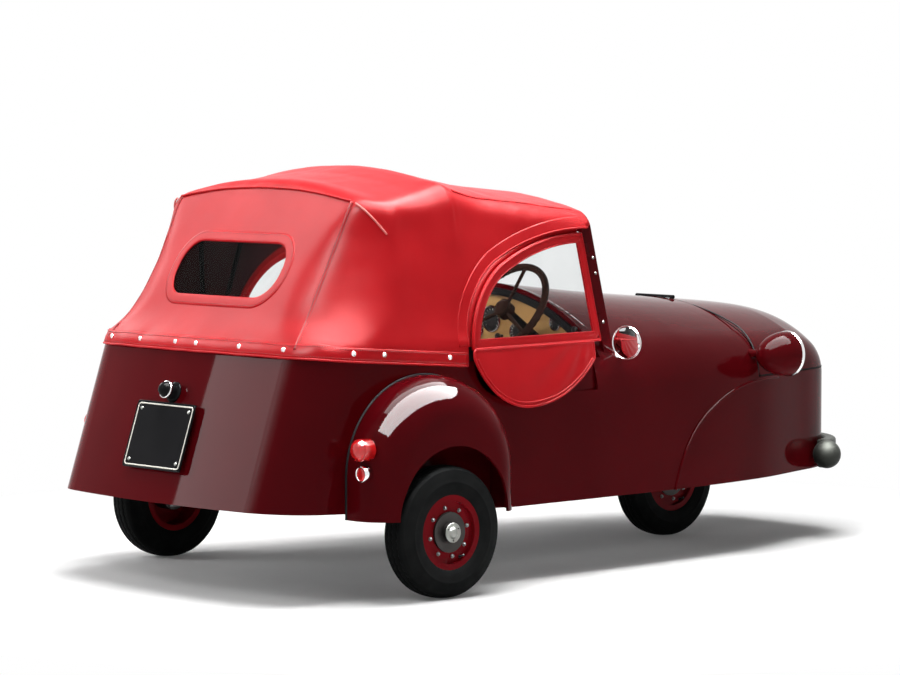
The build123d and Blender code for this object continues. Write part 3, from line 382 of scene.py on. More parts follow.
NODE_FINISHES = {
    body_paint: (
        "tail_body", "front_body", "bonnet", "wing_left", "wing_right", "headlamp_shells", "windscreen_frame",
    ),
    black_paint: ("bulkhead", "fork", "rear_plate", "plate_lamp", "hood_bows", "steering_column"),
    brown_plastic: ("steering_wheel",),
    wheel_paint: ("front_rim", "rear_left_rim", "rear_right_rim"),
    hub_metal: ("front_hub", "rear_left_hub", "rear_right_hub"),
    rubber: ("front_tyre", "rear_left_tyre", "rear_right_tyre"),
    dull_aluminium: ("bumper", "grille_bars"),
    chrome: ("bonnet_knob", "mirror"),
    steel: ("stub_axles", "front_axle"),
    floor_metal: ("floor_pan",),
    engine_metal: ("engine",),
    clear_sheet: ("windscreen_glass", "rear_window", "side_pane_left", "side_pane_right"),
    lamp_glass: ("headlamp_glasses",),
    red_lens: ("tail_lamps", "reflectors"),
    dash_wood: ("dashboard",),
    black_leather: ("dash_roll",),
    red_vinyl: ("hood", "side_screen_left", "side_screen_right"),
    seat_leather: ("seat_cushion", "seat_back"),
}
for finish, names in NODE_FINISHES.items():
    for name in names:
        slots = cad[name].data.materials
        if not slots:
            slots.append(finish)
        for index in range(len(slots)):
            slots[index] = finish


# Geometry Nodes that set one shape at each marked point, turned by two vectors of the point
def setting_tree():
    """Node tree with a shape, a size and a finish as its named inputs."""
    tree = bpy.data.node_groups.new("set_fittings", "GeometryNodeTree")
    inputs = (("Points", "Geometry"), ("Shape", "Object"), ("Size", "Float"), ("Finish", "Material"))
    for name, kind in inputs:
        tree.interface.new_socket(name=name, in_out="INPUT", socket_type=f"NodeSocket{kind}")
    tree.interface.new_socket(name="Fittings", in_out="OUTPUT", socket_type="NodeSocketGeometry")
    make, link = tree.nodes.new, tree.links.new
    given, result = make("NodeGroupInput"), make("NodeGroupOutput")
    turns = []
    for attribute, axis in (("along", "X"), ("facing", "Z")):
        vector = make("GeometryNodeInputNamedAttribute")
        vector.data_type = "FLOAT_VECTOR"
        vector.inputs["Name"].default_value = attribute
        turn = make("FunctionNodeAlignRotationToVector")
        turn.axis = axis
        link(vector.outputs["Attribute"], turn.inputs["Vector"])
        if turns:
            turn.pivot_axis = "X"
            link(turns[-1].outputs["Rotation"], turn.inputs["Rotation"])
        turns.append(turn)
    shape = make("GeometryNodeObjectInfo")
    place = make("GeometryNodeInstanceOnPoints")
    realize = make("GeometryNodeRealizeInstances")
    coat = make("GeometryNodeSetMaterial")
    link(given.outputs["Shape"], shape.inputs["Object"])
    link(given.outputs["Points"], place.inputs["Points"])
    link(shape.outputs["Geometry"], place.inputs["Instance"])
    link(turns[-1].outputs["Rotation"], place.inputs["Rotation"])
    link(given.outputs["Size"], place.inputs["Scale"])
    link(place.outputs["Instances"], realize.inputs["Geometry"])
    link(realize.outputs["Geometry"], coat.inputs["Geometry"])
    link(given.outputs["Finish"], coat.inputs["Material"])
    link(coat.outputs["Geometry"], result.inputs["Fittings"])
    return tree


fitting_tree = setting_tree()


def set_fittings(name, shape, places, facings, alongs, material, slot, body="body", smooth=True):
    """Sets one shape at each place, facing out and turned along a line, as a plain mesh on a body."""
    mesh = bpy.data.meshes.new(name + "_points")
    mesh.from_pydata(metres(places).tolist(), [], [])
    for attribute, vectors in (("facing", facings), ("along", alongs)):
        layer = mesh.attributes.new(attribute, "FLOAT_VECTOR", "POINT")
        vectors = np.broadcast_to(unit(vectors), (len(places), 3))
        layer.data.foreach_set("vector", vectors.astype(np.float32).ravel())
    holder = show(name + "_points", mesh)
    modifier = holder.modifiers.new("fittings", "NODES")
    modifier.node_group = fitting_tree
    values = {"Shape": shape, "Size": 1.0, "Finish": material}
    for item in fitting_tree.interface.items_tree:
        if item.in_out == "INPUT" and item.name in values:
            modifier[item.identifier] = values[item.name]
    bpy.context.view_layer.update()
    evaluated = holder.evaluated_get(bpy.context.evaluated_depsgraph_get())
    result = bpy.data.meshes.new_from_object(evaluated)
    result.name = name
    holder.modifiers.remove(modifier)
    bpy.data.objects.remove(holder)
    bpy.data.objects.remove(shape)
    result.polygons.foreach_set("use_smooth", [smooth] * len(result.polygons))
    settle(show(name, result), body, slot)


def shape_at_origin(piece):
    """Turns a piece made in stations into a shape about the origin, for setting."""
    piece.data.transform(Matrix.Translation((-rear_axle_x, 0, 0)))
    return piece


def stud_shape(radius, height):
    """Domed press stud with a rolled edge."""
    profile = [(-1.0, 0.01), (-1.0, radius), (0.35 * height, radius), (0.55 * height, 0.92 * radius)]
    profile += [(0.5 * height, 0.8 * radius), (0.62 * height, 0.74 * radius), (0.86 * height, 0.5 * radius)]
    profile += [(height, 0.24 * radius), (height, 0.01)]
    return shape_at_origin(lathe("stud", profile, (0, 0, 0), (0, 0, 1), chrome, 14))


def bolt_shape(radius, height):
    """Hexagon bolt head on a washer."""
    points = []
    washer, flat = 0.25 * height, 0.9 * height
    rings = ((-1.0, 1.35, 18), (washer, 1.35, 18), (washer, 1.0, 6), (flat, 1.0, 6), (height, 0.86, 6))
    steps = 18
    for z, share, corners in rings:
        for index in range(steps):
            angle = 2 * math.pi * index / steps
            reach = radius * share
            if corners == 6:
                sector = (angle % (math.pi / 3)) - math.pi / 6
                reach *= math.cos(math.pi / 6) / math.cos(sector)
            points.append((reach * math.cos(angle), reach * math.sin(angle), z))
    faces = grid_faces(len(rings), steps, close_columns=True)
    faces.append(tuple(reversed(range(steps))))
    faces.append(tuple(range((len(rings) - 1) * steps, len(rings) * steps)))
    return shape_at_origin(piece_of("bolt", points, faces, steel, smooth=False))


def screw_shape(radius, height):
    """Raised screw head with a slot pressed across it."""
    profile = [(-1.0, 0.01), (-1.0, radius), (0.3 * height, radius), (0.75 * height, 0.7 * radius)]
    profile += [(height, 0.3 * radius), (height, 0.01)]
    head = lathe("screw", profile, (0, 0, 0), (0, 0, 1), chrome, 16)
    for vertex in head.data.vertices:
        if abs(vertex.co.y) < 0.12 * radius * MM and vertex.co.z > 0:
            vertex.co.z *= 0.45
    return shape_at_origin(head)


def stitch_shape(length, thick):
    """Short thread that dips into the cloth at both ends."""
    path = [(-length / 2, 0, -thick), (-0.36 * length, 0, 0.1 * thick), (0, 0, 0.45 * thick)]
    path += [(0.36 * length, 0, 0.1 * thick), (length / 2, 0, -thick)]
    return shape_at_origin(sweep("stitch", path, (0, 0, 1), round_profile(thick / 2, 5), thread))


# Hood: the form under its skin, in levels from the hem to the roof
def belt_z(x):
    """Height of the body's top edge."""
    return 713 - 0.075 * (np.asarray(x, float) - 150)


def tail_x(z):
    """Station of the tail panel's middle at this height."""
    return -607 + (z - 283) * 0.334


hem_stand = 5
# Columns: height, rear station, half width, corner radius, crown of the rear edge
hood_levels = np.array(
    (
        (690, tail_x(690) - hem_stand, 594, 164, 72),
        (768, tail_x(768) - hem_stand, 593, 166, 72),
        (802, -414, 583, 196, 58),
        (850, -374, 572, 232, 46),
        (905, -338, 562, 250, 34),
        (1000, -278, 545, 230, 26),
        (1100, -215, 526, 176, 20),
        (1210, -146, 506, 78, 14),
        (1340, -66, 482, 60, 14),
    )
)
# Columns: station and height of the roof's middle
roof_line = np.array(
    ((-520, 1226), (-146, 1270), (-60, 1270), (80, 1288), (160, 1304), (190, 1308), (220, 1303), (300, 1284),
     (450, 1257), (620, 1238), (786, 1222))
)
roof_bend = 1860
hood_core = np.array((130.0, 0.0, 960.0))
hood_crown = np.array((130.0, 0.0, 1400.0))
hood_front = 786
edge_round = 46


def rounded(first, second, radius):
    """Depth inside two walls that meet in a round edge."""
    over_first, over_second = radius - first, radius - second
    corner = radius - np.hypot(np.maximum(over_first, 0), np.maximum(over_second, 0))
    return np.where((over_first > 0) | (over_second > 0), corner, np.minimum(first, second))


def roof_z(x, y):
    """Height of the roof's skin."""
    return np.interp(x, roof_line[:, 0], roof_line[:, 1]) - roof_bend + np.sqrt(roof_bend**2 - y**2)


def hood_depth(points):
    """How far inside the hood's skin points lie."""
    x, y, z = np.moveaxis(np.asarray(points, float), -1, 0)
    rear, half, corner, crown = [np.interp(z, hood_levels[:, 0], hood_levels[:, k]) for k in range(1, 5)]
    bend = (half**2 + crown**2) / (2 * crown)
    from_rear = bend - np.hypot(x - rear - bend, y)
    walls = rounded(half - np.abs(y), from_rear, corner)
    roof = roof_z(x, y) - z
    return rounded(walls, roof, np.interp(x, (-150, -60, 60), (20, 30, edge_round)))


def reach_skin(starts, ways, far=1400.0):
    """Points where rays leave the hood's skin."""
    starts, ways = np.broadcast_arrays(np.asarray(starts, float), unit(ways))
    low = np.zeros(ways.shape[:-1])
    high = np.full(ways.shape[:-1], far)
    for _ in range(42):
        middle = (low + high) / 2
        inside = hood_depth(starts + middle[..., None] * ways) > 0
        low, high = np.where(inside, middle, low), np.where(inside, high, middle)
    return starts + low[..., None] * ways


def side_skin(edge, side):
    """Points of the hood's skin beside places given as station and height."""
    starts = np.stack([edge[:, 0], np.zeros(len(edge)), edge[:, 1]], axis=1)
    return reach_skin(starts, (0, side, 0))


def skin_normals(points, step=1.5):
    """Outward directions of the hood's skin."""
    slopes = [hood_depth(points + offset) - hood_depth(points - offset) for offset in np.eye(3) * step]
    return unit(-np.stack(slopes, axis=-1))


# Side screen: outline seen from the side, as station and height
screen_rail = 742
screen_heel = (205, screen_rail)
screen_toe = (822, screen_rail)
screen_front = (757, 1093)
screen_turn = (352, 1000)
screen_loop = np.concatenate(
    [
        even((screen_heel, screen_toe), 14),
        even((screen_toe, screen_front), 14)[1:],
        bulged(screen_front, screen_turn, 25, 34)[1:],
        bulged(screen_turn, screen_heel, 40, 30)[1:-1],
    ]
)


def inset_loop(loop, distance):
    """Closed loop in a plane, drawn in by this much, with its corners mitred."""
    before = unit(loop - np.roll(loop, 1, axis=0))
    after = unit(np.roll(loop, -1, axis=0) - loop)
    inward_before = np.stack([-before[:, 1], before[:, 0]], axis=1)
    inward_after = np.stack([-after[:, 1], after[:, 0]], axis=1)
    middle = unit(inward_before + inward_after)
    stretch = np.maximum((middle * inward_after).sum(axis=1), 0.5)
    return loop + middle * (distance / stretch)[:, None]


hood_gap = 13
hem_lap = 16
opening = inset_loop(screen_loop, -hood_gap)
heel_index = len(even((screen_heel, screen_toe), 14)) + len(even((screen_toe, screen_front), 14)) - 2
opening_edge = opening[heel_index:][::-1]


def hood_rim():
    """Right half of the hood's rim: hem, side opening and header, from the tail's middle forward."""
    rays, pole = 200, hood_core * (1, 1, 0)
    angles = np.radians(np.linspace(180, 279, rays))
    ways = np.stack([np.cos(angles), np.sin(angles), np.zeros_like(angles)], axis=1)
    low, high = np.zeros(rays), np.full(rays, 1400.0)
    for _ in range(40):
        middle = (low + high) / 2
        points = pole + middle[:, None] * ways
        points[:, 2] = belt_z(points[:, 0]) - hem_lap
        inside = hood_depth(points) > 0
        low, high = np.where(inside, middle, low), np.where(inside, high, middle)
    hem = pole + low[:, None] * ways
    hem[:, 2] = belt_z(hem[:, 0]) - hem_lap
    edge_x = opening_edge[0][0]
    hem = hem[hem[:, 0] < edge_x - 4]
    foot = np.array(((edge_x, belt_z(edge_x) - hem_lap),))
    edge = np.concatenate([foot, opening_edge[opening_edge[:, 0] < hood_front - 10]])
    sides = side_skin(edge, -1)
    last = math.atan2(sides[-1][2] - 1000, sides[-1][1])
    turns = np.linspace(last, -1.5 * math.pi if last < 0 else math.pi / 2, 60)
    ways = np.stack([np.zeros_like(turns), np.cos(turns), np.sin(turns)], axis=1)
    header = reach_skin((hood_front, 0, 1000), ways)
    return even(hem, 12), even(sides, 12), even(header, 13)


hem_rim, edge_rim, header_rim = hood_rim()
half_rim = np.concatenate([hem_rim, edge_rim, header_rim[1:]])
mirrored = half_rim[1:-1][::-1] * (1, -1, 1)
rim = np.concatenate([half_rim, mirrored])

# Places of the press studs along the hem, as station and distance out, from the photo
stud_rows = ((-448, 52), (-438, 250), (-410, 430), (-261, 579), (-150, 593), (115, 593))


def hem_studs():
    """Places of the press studs on the hem."""
    places = []
    for x, y in stud_rows:
        for side in SIDES.values():
            start = np.array((hood_core[0], 0, belt_z(x) + 9))
            places.append(reach_skin(start, np.array((x - hood_core[0], side * y, 0.0))))
    return np.array(places)


studs = hem_studs()


def hood_wrinkles(points):
    """How far the cloth stands proud of its form or sags from it."""
    x, y, z = np.moveaxis(points, -1, 0)
    out = np.abs(y)
    above_hem = z - belt_z(x)
    nearest = np.full(x.shape, 1e9)
    for stud in studs:
        nearest = np.minimum(nearest, np.hypot(x - stud[0], y - stud[1]))
    hem = np.exp(-((np.maximum(above_hem, 0) / 34) ** 2))
    rise = hem * (3.2 * np.minimum(nearest / 95, 1) ** 1.5 - 2.2 * np.exp(-((nearest / 24) ** 2)))
    side = np.clip((out - 380) / 90, 0, 1) * np.clip((x + 330) / 120, 0, 1)
    bow = np.exp(-(((x - 190) / 30) ** 2)) * np.clip((z - 1010) / 180, 0, 1)
    rise += side * 9 * bow
    slack = np.exp(-(((x - 30) / 85) ** 2)) * np.clip((z - 800) / 120, 0, 1) * np.clip((1230 - z) / 90, 0, 1)
    rise -= side * 9 * slack
    front_slack = np.exp(-(((x - 330) / 75) ** 2)) * np.clip((z - 1060) / 80, 0, 1)
    rise -= side * 6 * front_slack
    for px, pz, size in ((196, 1222, 9), (204, 1178, 8), (206, 1140, 7)):
        pucker = np.exp(-(((x - px) / 7) ** 2) - (((z - pz) / 16) ** 2))
        rise -= np.clip((out - 420) / 40, 0, 1) * size * 0.55 * pucker
    corner_fold = np.exp(-(((x + 30 + 0.32 * (1190 - z)) / 16) ** 2)) * np.clip((z - 1040) / 60, 0, 1)
    rise += side * 5 * corner_fold * np.clip((1200 - z) / 30, 0, 1)
    fold = np.exp(-((((x + 345) * 0.8 + (z - 775) * 0.9) / 16) ** 2) - (((z - 785) / 34) ** 2))
    rise += 6 * fold * np.clip((out - 430) / 50, 0, 1)
    window = np.clip((np.maximum(out - 300, np.abs(z - 990) - 125)) / 60, 0, 1)
    behind = np.where(x < -60, window, 1.0)
    places = [Vector(point) for point in points.reshape(-1, 3)]
    wave = np.array([noise.noise(place * 0.0062) + 0.5 * noise.noise(place * 0.017) for place in places])
    return rise + 2.4 * behind * wave.reshape(x.shape)


def hood_sheet():
    """Points of the whole sheet: rows from the rim to the crown of the roof."""
    rows = 70
    shares = np.linspace(0, 1, rows) ** 1.06
    starts = unit(rim - hood_core)
    top = unit(hood_crown - hood_core)
    angles = np.arccos(np.clip(starts @ top, -1, 1))
    weights_low = np.sin(np.outer(1 - shares, angles)) / np.sin(angles)
    weights_high = np.sin(np.outer(shares, angles)) / np.sin(angles)
    ways = weights_low[..., None] * starts + weights_high[..., None] * top
    points = reach_skin(hood_core, ways)
    normals = skin_normals(points)
    rise = hood_wrinkles(points)
    points = points + rise[..., None] * normals
    for _ in range(5):
        beside = (np.roll(points, 1, axis=1) + np.roll(points, -1, axis=1)) / 2
        blend = points.copy()
        blend[6:-1] = 0.5 * points[6:-1] + 0.25 * beside[6:-1] + 0.125 * (points[5:-2] + points[7:])
        points = blend
    return points


window_half, window_low, window_high, window_corner = 264, 902, 1078, 80


def window_loop(grow, count=160):
    """Outline of the rear window, grown, as y and height."""
    radius = window_corner + grow
    across, up = window_half - window_corner, (window_high - window_low) / 2 - window_corner
    middle = (window_low + window_high) / 2
    loop = []
    corners = ((across, up), (-across, up), (-across, -up), (across, -up))
    for start, (cy, cz) in zip((0, 90, 180, 270), corners):
        for angle in np.radians(np.linspace(start, start + 90, 20)):
            loop.append((cy + radius * math.cos(angle), middle + cz + radius * math.sin(angle)))
    return even(loop, 2 * math.pi * radius / count + 4 * (across + up) / count, closed=True)


def inside_window(y, z, grow=0.0):
    """Whether a place lies within the rear window's outline."""
    over_y = np.maximum(np.abs(y) - (window_half - window_corner), 0)
    middle, half_tall = (window_low + window_high) / 2, (window_high - window_low) / 2
    over_z = np.maximum(np.abs(z - middle) - (half_tall - window_corner), 0)
    return np.hypot(over_y, over_z) < window_corner + grow


def on_tail_skin(loop):
    """Points of the hood's rear skin behind a loop of y and height."""
    starts = np.stack([np.full(len(loop), hood_core[0]), loop[:, 0], loop[:, 1]], axis=1)
    return reach_skin(starts, (-1, 0, 0))


def build_hood():
    """Hood sheet with its rear window cut and its edges on the outline."""
    points = hood_sheet()
    rows, columns = points.shape[:2]
    flat = points[:-1].reshape(-1, 3)
    peak = points[-1].mean(axis=0)
    faces = grid_faces(rows - 1, columns, close_columns=True)
    centres = flat[np.array(faces)].mean(axis=1)
    cut = (centres[:, 0] < -60) & inside_window(centres[:, 1], centres[:, 2])
    kept = [face for face, gone in zip(faces, cut) if not gone]
    dropped = {int(i) for face, gone in zip(faces, cut) if gone for i in face}
    edge = sorted(dropped & {int(i) for face in kept for i in face})
    loop = window_loop(0, 400)
    for index in edge:
        near = loop[np.argmin(np.hypot(loop[:, 0] - flat[index, 1], loop[:, 1] - flat[index, 2]))]
        flat[index] = on_tail_skin(near[None])[0]
    last = (rows - 2) * columns
    flat = np.concatenate([flat, peak[None]])
    kept += [(last + k, last + (k + 1) % columns, len(flat) - 1) for k in range(columns)]
    used = sorted({int(i) for face in kept for i in face})
    renumber = {old: new for new, old in enumerate(used)}
    kept = [tuple(renumber[int(i)] for i in face) for face in kept]
    return piece_of("hood_sheet", flat[used], kept, red_vinyl)


cloth_thick = 2.4
hood = build_hood()
work = bmesh.new()
work.from_mesh(hood.data)
bmesh.ops.recalc_face_normals(work, faces=work.faces)
if sum(face.normal.z for face in work.faces) < 0:
    bmesh.ops.reverse_faces(work, faces=work.faces)
work.to_mesh(hood.data)
work.free()
wall = hood.modifiers.new("cloth_thickness", "SOLIDIFY")
wall.thickness = cloth_thick * MM
wall.offset = -1
hood.data.materials.append(hood_lining)
wall.material_offset = 1
settle(hood, "body", "hood_cloth", "hood")


def skin_strip(name, points, profile, material):
    """Lays a strip on the hood's cloth along a line of points."""
    normals = skin_normals(points)
    lifted = points + hood_wrinkles(points)[..., None] * normals
    settle(sweep(name, lifted, normals, profile, material), "body", "hood_cloth")
    return lifted, normals


def skin_line(start, end, steps=60):
    """Line on the hood's skin between two places."""
    ways = np.linspace(np.asarray(start, float), np.asarray(end, float), steps) - hood_core
    return reach_skin(hood_core, ways)


# Border sewn round the rear window
border_steps = ((-7, -1.5), (-6, 1.6), (-2, 2.6), (6, 2.2), (21, 1.9), (26, 1.3), (27, -1.0))
border_points = []
for grow, height in border_steps:
    skin = on_tail_skin(window_loop(grow))
    border_points.append(skin + height * skin_normals(skin))
window_border = piece_of(
    "rear_window_border",
    np.concatenate(border_points),
    grid_faces(len(border_steps), len(border_points[0]), close_rows=True, close_columns=True),
    red_vinyl,
)
settle(outward(window_border), "body", "hood_cloth")


def stitch_row(name, places, normals, closed=False):
    """Row of stitches along places on cloth."""
    if closed:
        alongs = np.roll(places, -1, axis=0) - np.roll(places, 1, axis=0)
    else:
        alongs = np.gradient(places, axis=0)
    set_fittings(name, stitch_shape(5.2, 1.3), places, normals, alongs, thread, "hood_cloth")


window_stitches = on_tail_skin(even(window_loop(19), 7.5, closed=True))
window_normals = skin_normals(window_stitches)
stitch_row("rear_window_stitches", window_stitches + 2.0 * window_normals, window_normals, True)

# Sewn seams and piping on the hood
seam_profile = ((-6, -0.8), (-5, 0.6), (-2, 1.3), (-0.9, 0.2), (0.9, 0.2), (2, 1.3), (5, 0.6), (6, -0.8))
for side_name, side in SIDES.items():
    quarter = skin_line((-401, side * 470, 765), (-146, side * 440, 1214), 80)
    lifted, normals = skin_strip(f"quarter_seam_{side_name}", quarter, seam_profile, red_vinyl)
    bead(f"quarter_cord_{side_name}", lifted + 0.5 * normals, normals, 1.5, thread, "hood_cloth", 6)
    across = np.cross(unit(np.gradient(lifted, axis=0)), normals)
    places = even(lifted + 9 * across + 0.4 * normals, 7.5)
    stitch_row(f"quarter_stitches_{side_name}", places, skin_normals(places))
    roof_edge = skin_line((225, side * 474, 1232), (760, side * 466, 1168), 70)
    skin_strip(f"roof_seam_{side_name}", roof_edge, seam_profile, red_vinyl)
    cheek = skin_line((-138, side * 446, 1200), (-66, side * 498, 1100), 30)
    # Cheek piping in the pale pink vinyl, whose colour is a painted highlight
    skin_strip(f"cheek_piping_{side_name}", cheek, round_profile(3.2, 8, 1.2), highlight_piping)

ridge = skin_line((-147, 446, 1212), (-147, -446, 1212), 120)
ridge[:, 0] = np.interp(np.abs(ridge[:, 1]), (0, 440), (-146, -143))
ridge[:, 2] = roof_z(ridge[:, 0], ridge[:, 1]) - 8
ridge = reach_skin(hood_core, ridge - hood_core)
skin_strip("rear_top_piping", ridge, round_profile(3.6, 8, 1.6), piping_vinyl)

# Hem band with its piping and press studs
hem_line = np.concatenate([hem_rim[::-1], hem_rim[1:] * (1, -1, 1)])


def hem_row(lift):
    """Line on the cloth at this height above the rim."""
    places = hem_line + (0, 0, lift)
    ways = places - (hood_core[0], 0, 0)
    ways[:, 2] = 0
    starts = np.stack([np.full(len(places), hood_core[0]), np.zeros(len(places)), places[:, 2]], axis=1)
    skin = reach_skin(starts, ways)
    normals = skin_normals(skin)
    return skin + hood_wrinkles(skin)[..., None] * normals, normals


# Each row of the band: height above the rim and distance over the cloth
hem_steps = ((-1, -1.4), (-1, 1.6), (3, 2.6), (20, 2.2), (39, 1.9), (42, 1.0), (42, -1.4))
hem_points = []
for lift, height in hem_steps:
    skin, normals = hem_row(lift)
    hem_points.append(skin + height * normals)
settle(strip("hem_band", hem_points, red_vinyl), "body", "hood_cloth")
hem_edge, hem_normals = hem_row(0)
bead("hem_piping", hem_edge + 1.2 * hem_normals, hem_normals, 3.4, piping_vinyl, "hood_cloth")
for row_name, lift in (("low", 8), ("high", 36)):
    places, normals = hem_row(lift)
    places = even(places + 2.5 * normals, 8)
    stitch_row(f"hem_stitches_{row_name}", places, skin_normals(places))
stud_normals = skin_normals(studs)
stud_normals[:, 2] *= 0.3
stud_places = studs + (hood_wrinkles(studs) + 1.6)[:, None] * stud_normals
set_fittings("hem_studs", stud_shape(8.0, 5.5), stud_places, stud_normals, (0, 0, 1), chrome, "chrome")


def opening_row(distance, clear_front, clear_low):
    """Line beside the side screen's outline, as station and height, at even steps."""
    edge = inset_loop(screen_loop, distance)[heel_index:][::-1]
    edge = edge[(edge[:, 0] < hood_front - clear_front) & (edge[:, 1] > screen_rail - clear_low)]
    edge = even(edge, 4)
    marks = np.linspace(0, len(edge) - 1, 96)
    return np.stack([np.interp(marks, np.arange(len(edge)), edge[:, k]) for k in range(2)], axis=1)


def screen_out(x, z):
    """Distance of the side screen's middle plane from the car's middle."""
    return 528.3 - 0.10724 * (x - 818.1) - 0.09305 * (z - 806)


# Bands round the hood's side openings, by distance from the opening and over the cloth
band_steps = ((-0.5, -2.0), (-1.5, 1.6), (2, 2.8), (6, 2.0), (34, 1.8), (38, 0.9), (38, -1.4))
for side_name, side in SIDES.items():
    rows = []
    for distance, height in band_steps:
        skin = side_skin(opening_row(-hood_gap - distance, 14, 6), side)
        rows.append(skin + (hood_wrinkles(skin) + height)[:, None] * skin_normals(skin))
    settle(strip(f"opening_band_{side_name}", rows, red_vinyl), "body", "hood_cloth")
    piping = rows[2]
    bead(f"opening_piping_{side_name}", piping, skin_normals(piping), 2.6, piping_vinyl, "hood_cloth")

# Returns that close the openings behind the side screens, by distance from outline and plane
return_steps = ((-hood_gap + 5, -8.6), (8, -9.6), (8, -12), (-hood_gap + 4, -11.5))
foot_outline = ((188, 690), (300, 690), (300, 757), (188, 757))
foot_faces = [(0, 1, 2, 3), (7, 6, 5, 4), (0, 4, 5, 1), (1, 5, 6, 2), (2, 6, 7, 3), (3, 7, 4, 0)]
for side_name, side in SIDES.items():
    rows = [side_skin(opening_row(-hood_gap - 3, 34, 30), side) - (0, side * 3.4, 0)]
    for distance, lift in return_steps:
        edge = opening_row(distance, 34, 30)
        out = side * (screen_out(edge[:, 0], edge[:, 1]) + lift)
        rows.append(np.stack([edge[:, 0], out, edge[:, 1]], axis=1))
    rows.append(side_skin(opening_row(-hood_gap - 4, 34, 30), side) - (0, side * 6.0, 0))
    settle(strip(f"opening_return_{side_name}", rows, red_vinyl), "body", "hood_cloth")
    foot = [(x, side * (584 - 0.08 * (x - 188) - inner), z) for inner in (0, 2) for x, z in foot_outline]
    foot_strip = outward(piece_of(f"return_foot_{side_name}", foot, foot_faces, black_leather, False))
    settle(foot_strip, "body", "black_trim")

# Side screens: covered frame, hinge eyes, piping and a loose flap below
flap_low = (440, 556)
flap_curve = np.concatenate([bulged((205, 716), flap_low, 44, 40), bulged(flap_low, (772, 690), 35, 40)[1:]])


def flap_out(x, z):
    """Distance of the flap's middle plane from the car's middle."""
    return 604 - 0.09912 * (x - screen_heel[0]) - 0.15748 * (z - screen_rail)


def build_screen(side_name, side):
    """Cover, piping and flap of one side screen."""
    body = f"side_screen_{side_name}"

    def placed(loop, lift, plane=screen_out):
        return np.stack([loop[:, 0], side * (plane(loop[:, 0], loop[:, 1]) + lift), loop[:, 1]], axis=1)

    steps = ((1.5, -5.6), (0, -3), (0, 2.5), (2, 4.6), (6, 5.6), (17, 6.0))
    steps += ((27, 5.2), (31, 3.8), (33, 1.5), (33, -3), (30, -5.6))
    rows = [placed(inset_loop(screen_loop, distance), lift) for distance, lift in steps]
    faces = grid_faces(len(rows), len(screen_loop), close_rows=True, close_columns=True)
    cover = [outward(piece_of("frame", np.concatenate(rows), faces, red_vinyl))]
    outs = (0, side, 0.1)
    for distance, lift, radius in ((5, 5.4, 2.6), (31.5, 3.6, 2.2)):
        line = placed(inset_loop(screen_loop, distance), lift)
        cover.append(sweep("piping", line, outs, round_profile(radius, 8), piping_vinyl, True))
    lean = unit((-76.0, side * -30.0, 410.0))
    profile = ((-12, 3.4), (-12, 5.4), (-11, 6), (11, 6), (12, 5.4), (12, 3.4), (-12, 3.4))
    for z in (806, 1036):
        foot = np.array((820.0, side * 529.0, 796.0)) + lean * (z - 796) / lean[2]
        cover.append(lathe("eye", profile, foot, lean, body_paint, 20))
    settle(joined(f"side_screen_cover_{side_name}", cover), body, "hood_cloth", body)
    rows_count = 30
    top = np.stack([np.linspace(208, 774, len(flap_curve)), np.full(len(flap_curve), 744.0)], axis=1)
    shares = np.linspace(0, 1, rows_count)
    plane_points = top[None] * (1 - shares)[:, None, None] + flap_curve[None] * shares[:, None, None]
    x, z = plane_points[..., 0], plane_points[..., 1]
    across = np.linspace(0, 1, len(flap_curve))[None]
    belly = 5.5 * np.sin(math.pi * shares)[:, None] ** 0.8 * np.sin(math.pi * across) ** 0.5
    fan = np.arctan2(x - 760, 800 - z)
    folds = 2.6 * np.sin(fan * 16 + 0.8) * np.exp(-(((across - 0.7) / 0.25) ** 2))
    folds = folds * np.sin(math.pi * shares)[:, None]
    ripples = 1.1 * np.sin(across * 19 + shares[:, None] * 2.0)
    folds += ripples * (1 - shares[:, None]) * np.sin(math.pi * across)
    out = flap_out(x, z) + 1.5 + belly * 0.9 + folds
    lip = np.exp(-(((shares - 1) / 0.05) ** 2))[:, None]
    out = out * (1 - lip) + (flap_out(x, z) + 2.4) * lip
    points = np.stack([x, side * out, z], axis=-1).reshape(-1, 3)
    faces = grid_faces(rows_count, len(flap_curve))
    if side > 0:
        faces = [tuple(reversed(face)) for face in faces]
    flap = piece_of(f"side_screen_flap_{side_name}", points, faces, red_vinyl)
    thickness = flap.modifiers.new("cloth_thickness", "SOLIDIFY")
    thickness.thickness = cloth_thick * MM
    thickness.offset = 0
    settle(flap, body, "hood_cloth", body)
    loop = even(np.concatenate([flap_curve, ((772, 742), (207, 742))]), 10, closed=True)
    edge_line = placed(loop, 2.0, flap_out)
    edge = sweep("edge", edge_line, (0, side, 0.15), round_profile(4.0, 10), piping_vinyl, True)
    inner_line = placed(flap_curve + unit(np.array((470, 690)) - flap_curve) * 13, 3.6, flap_out)
    inner = sweep("inner", inner_line, (0, side, 0.15), round_profile(2.8, 8), piping_vinyl)
    rail = placed(np.stack([np.linspace(212, 812, 60), np.full(60, 745.0)], axis=1), 6.0)
    rail_piping = sweep("rail", rail, outs, round_profile(3.4, 8), piping_vinyl)
    settle(joined(f"side_screen_piping_{side_name}", [edge, inner, rail_piping]), body, "hood_cloth")
    return flap


flaps = [build_screen(side_name, side) for side_name, side in SIDES.items()]


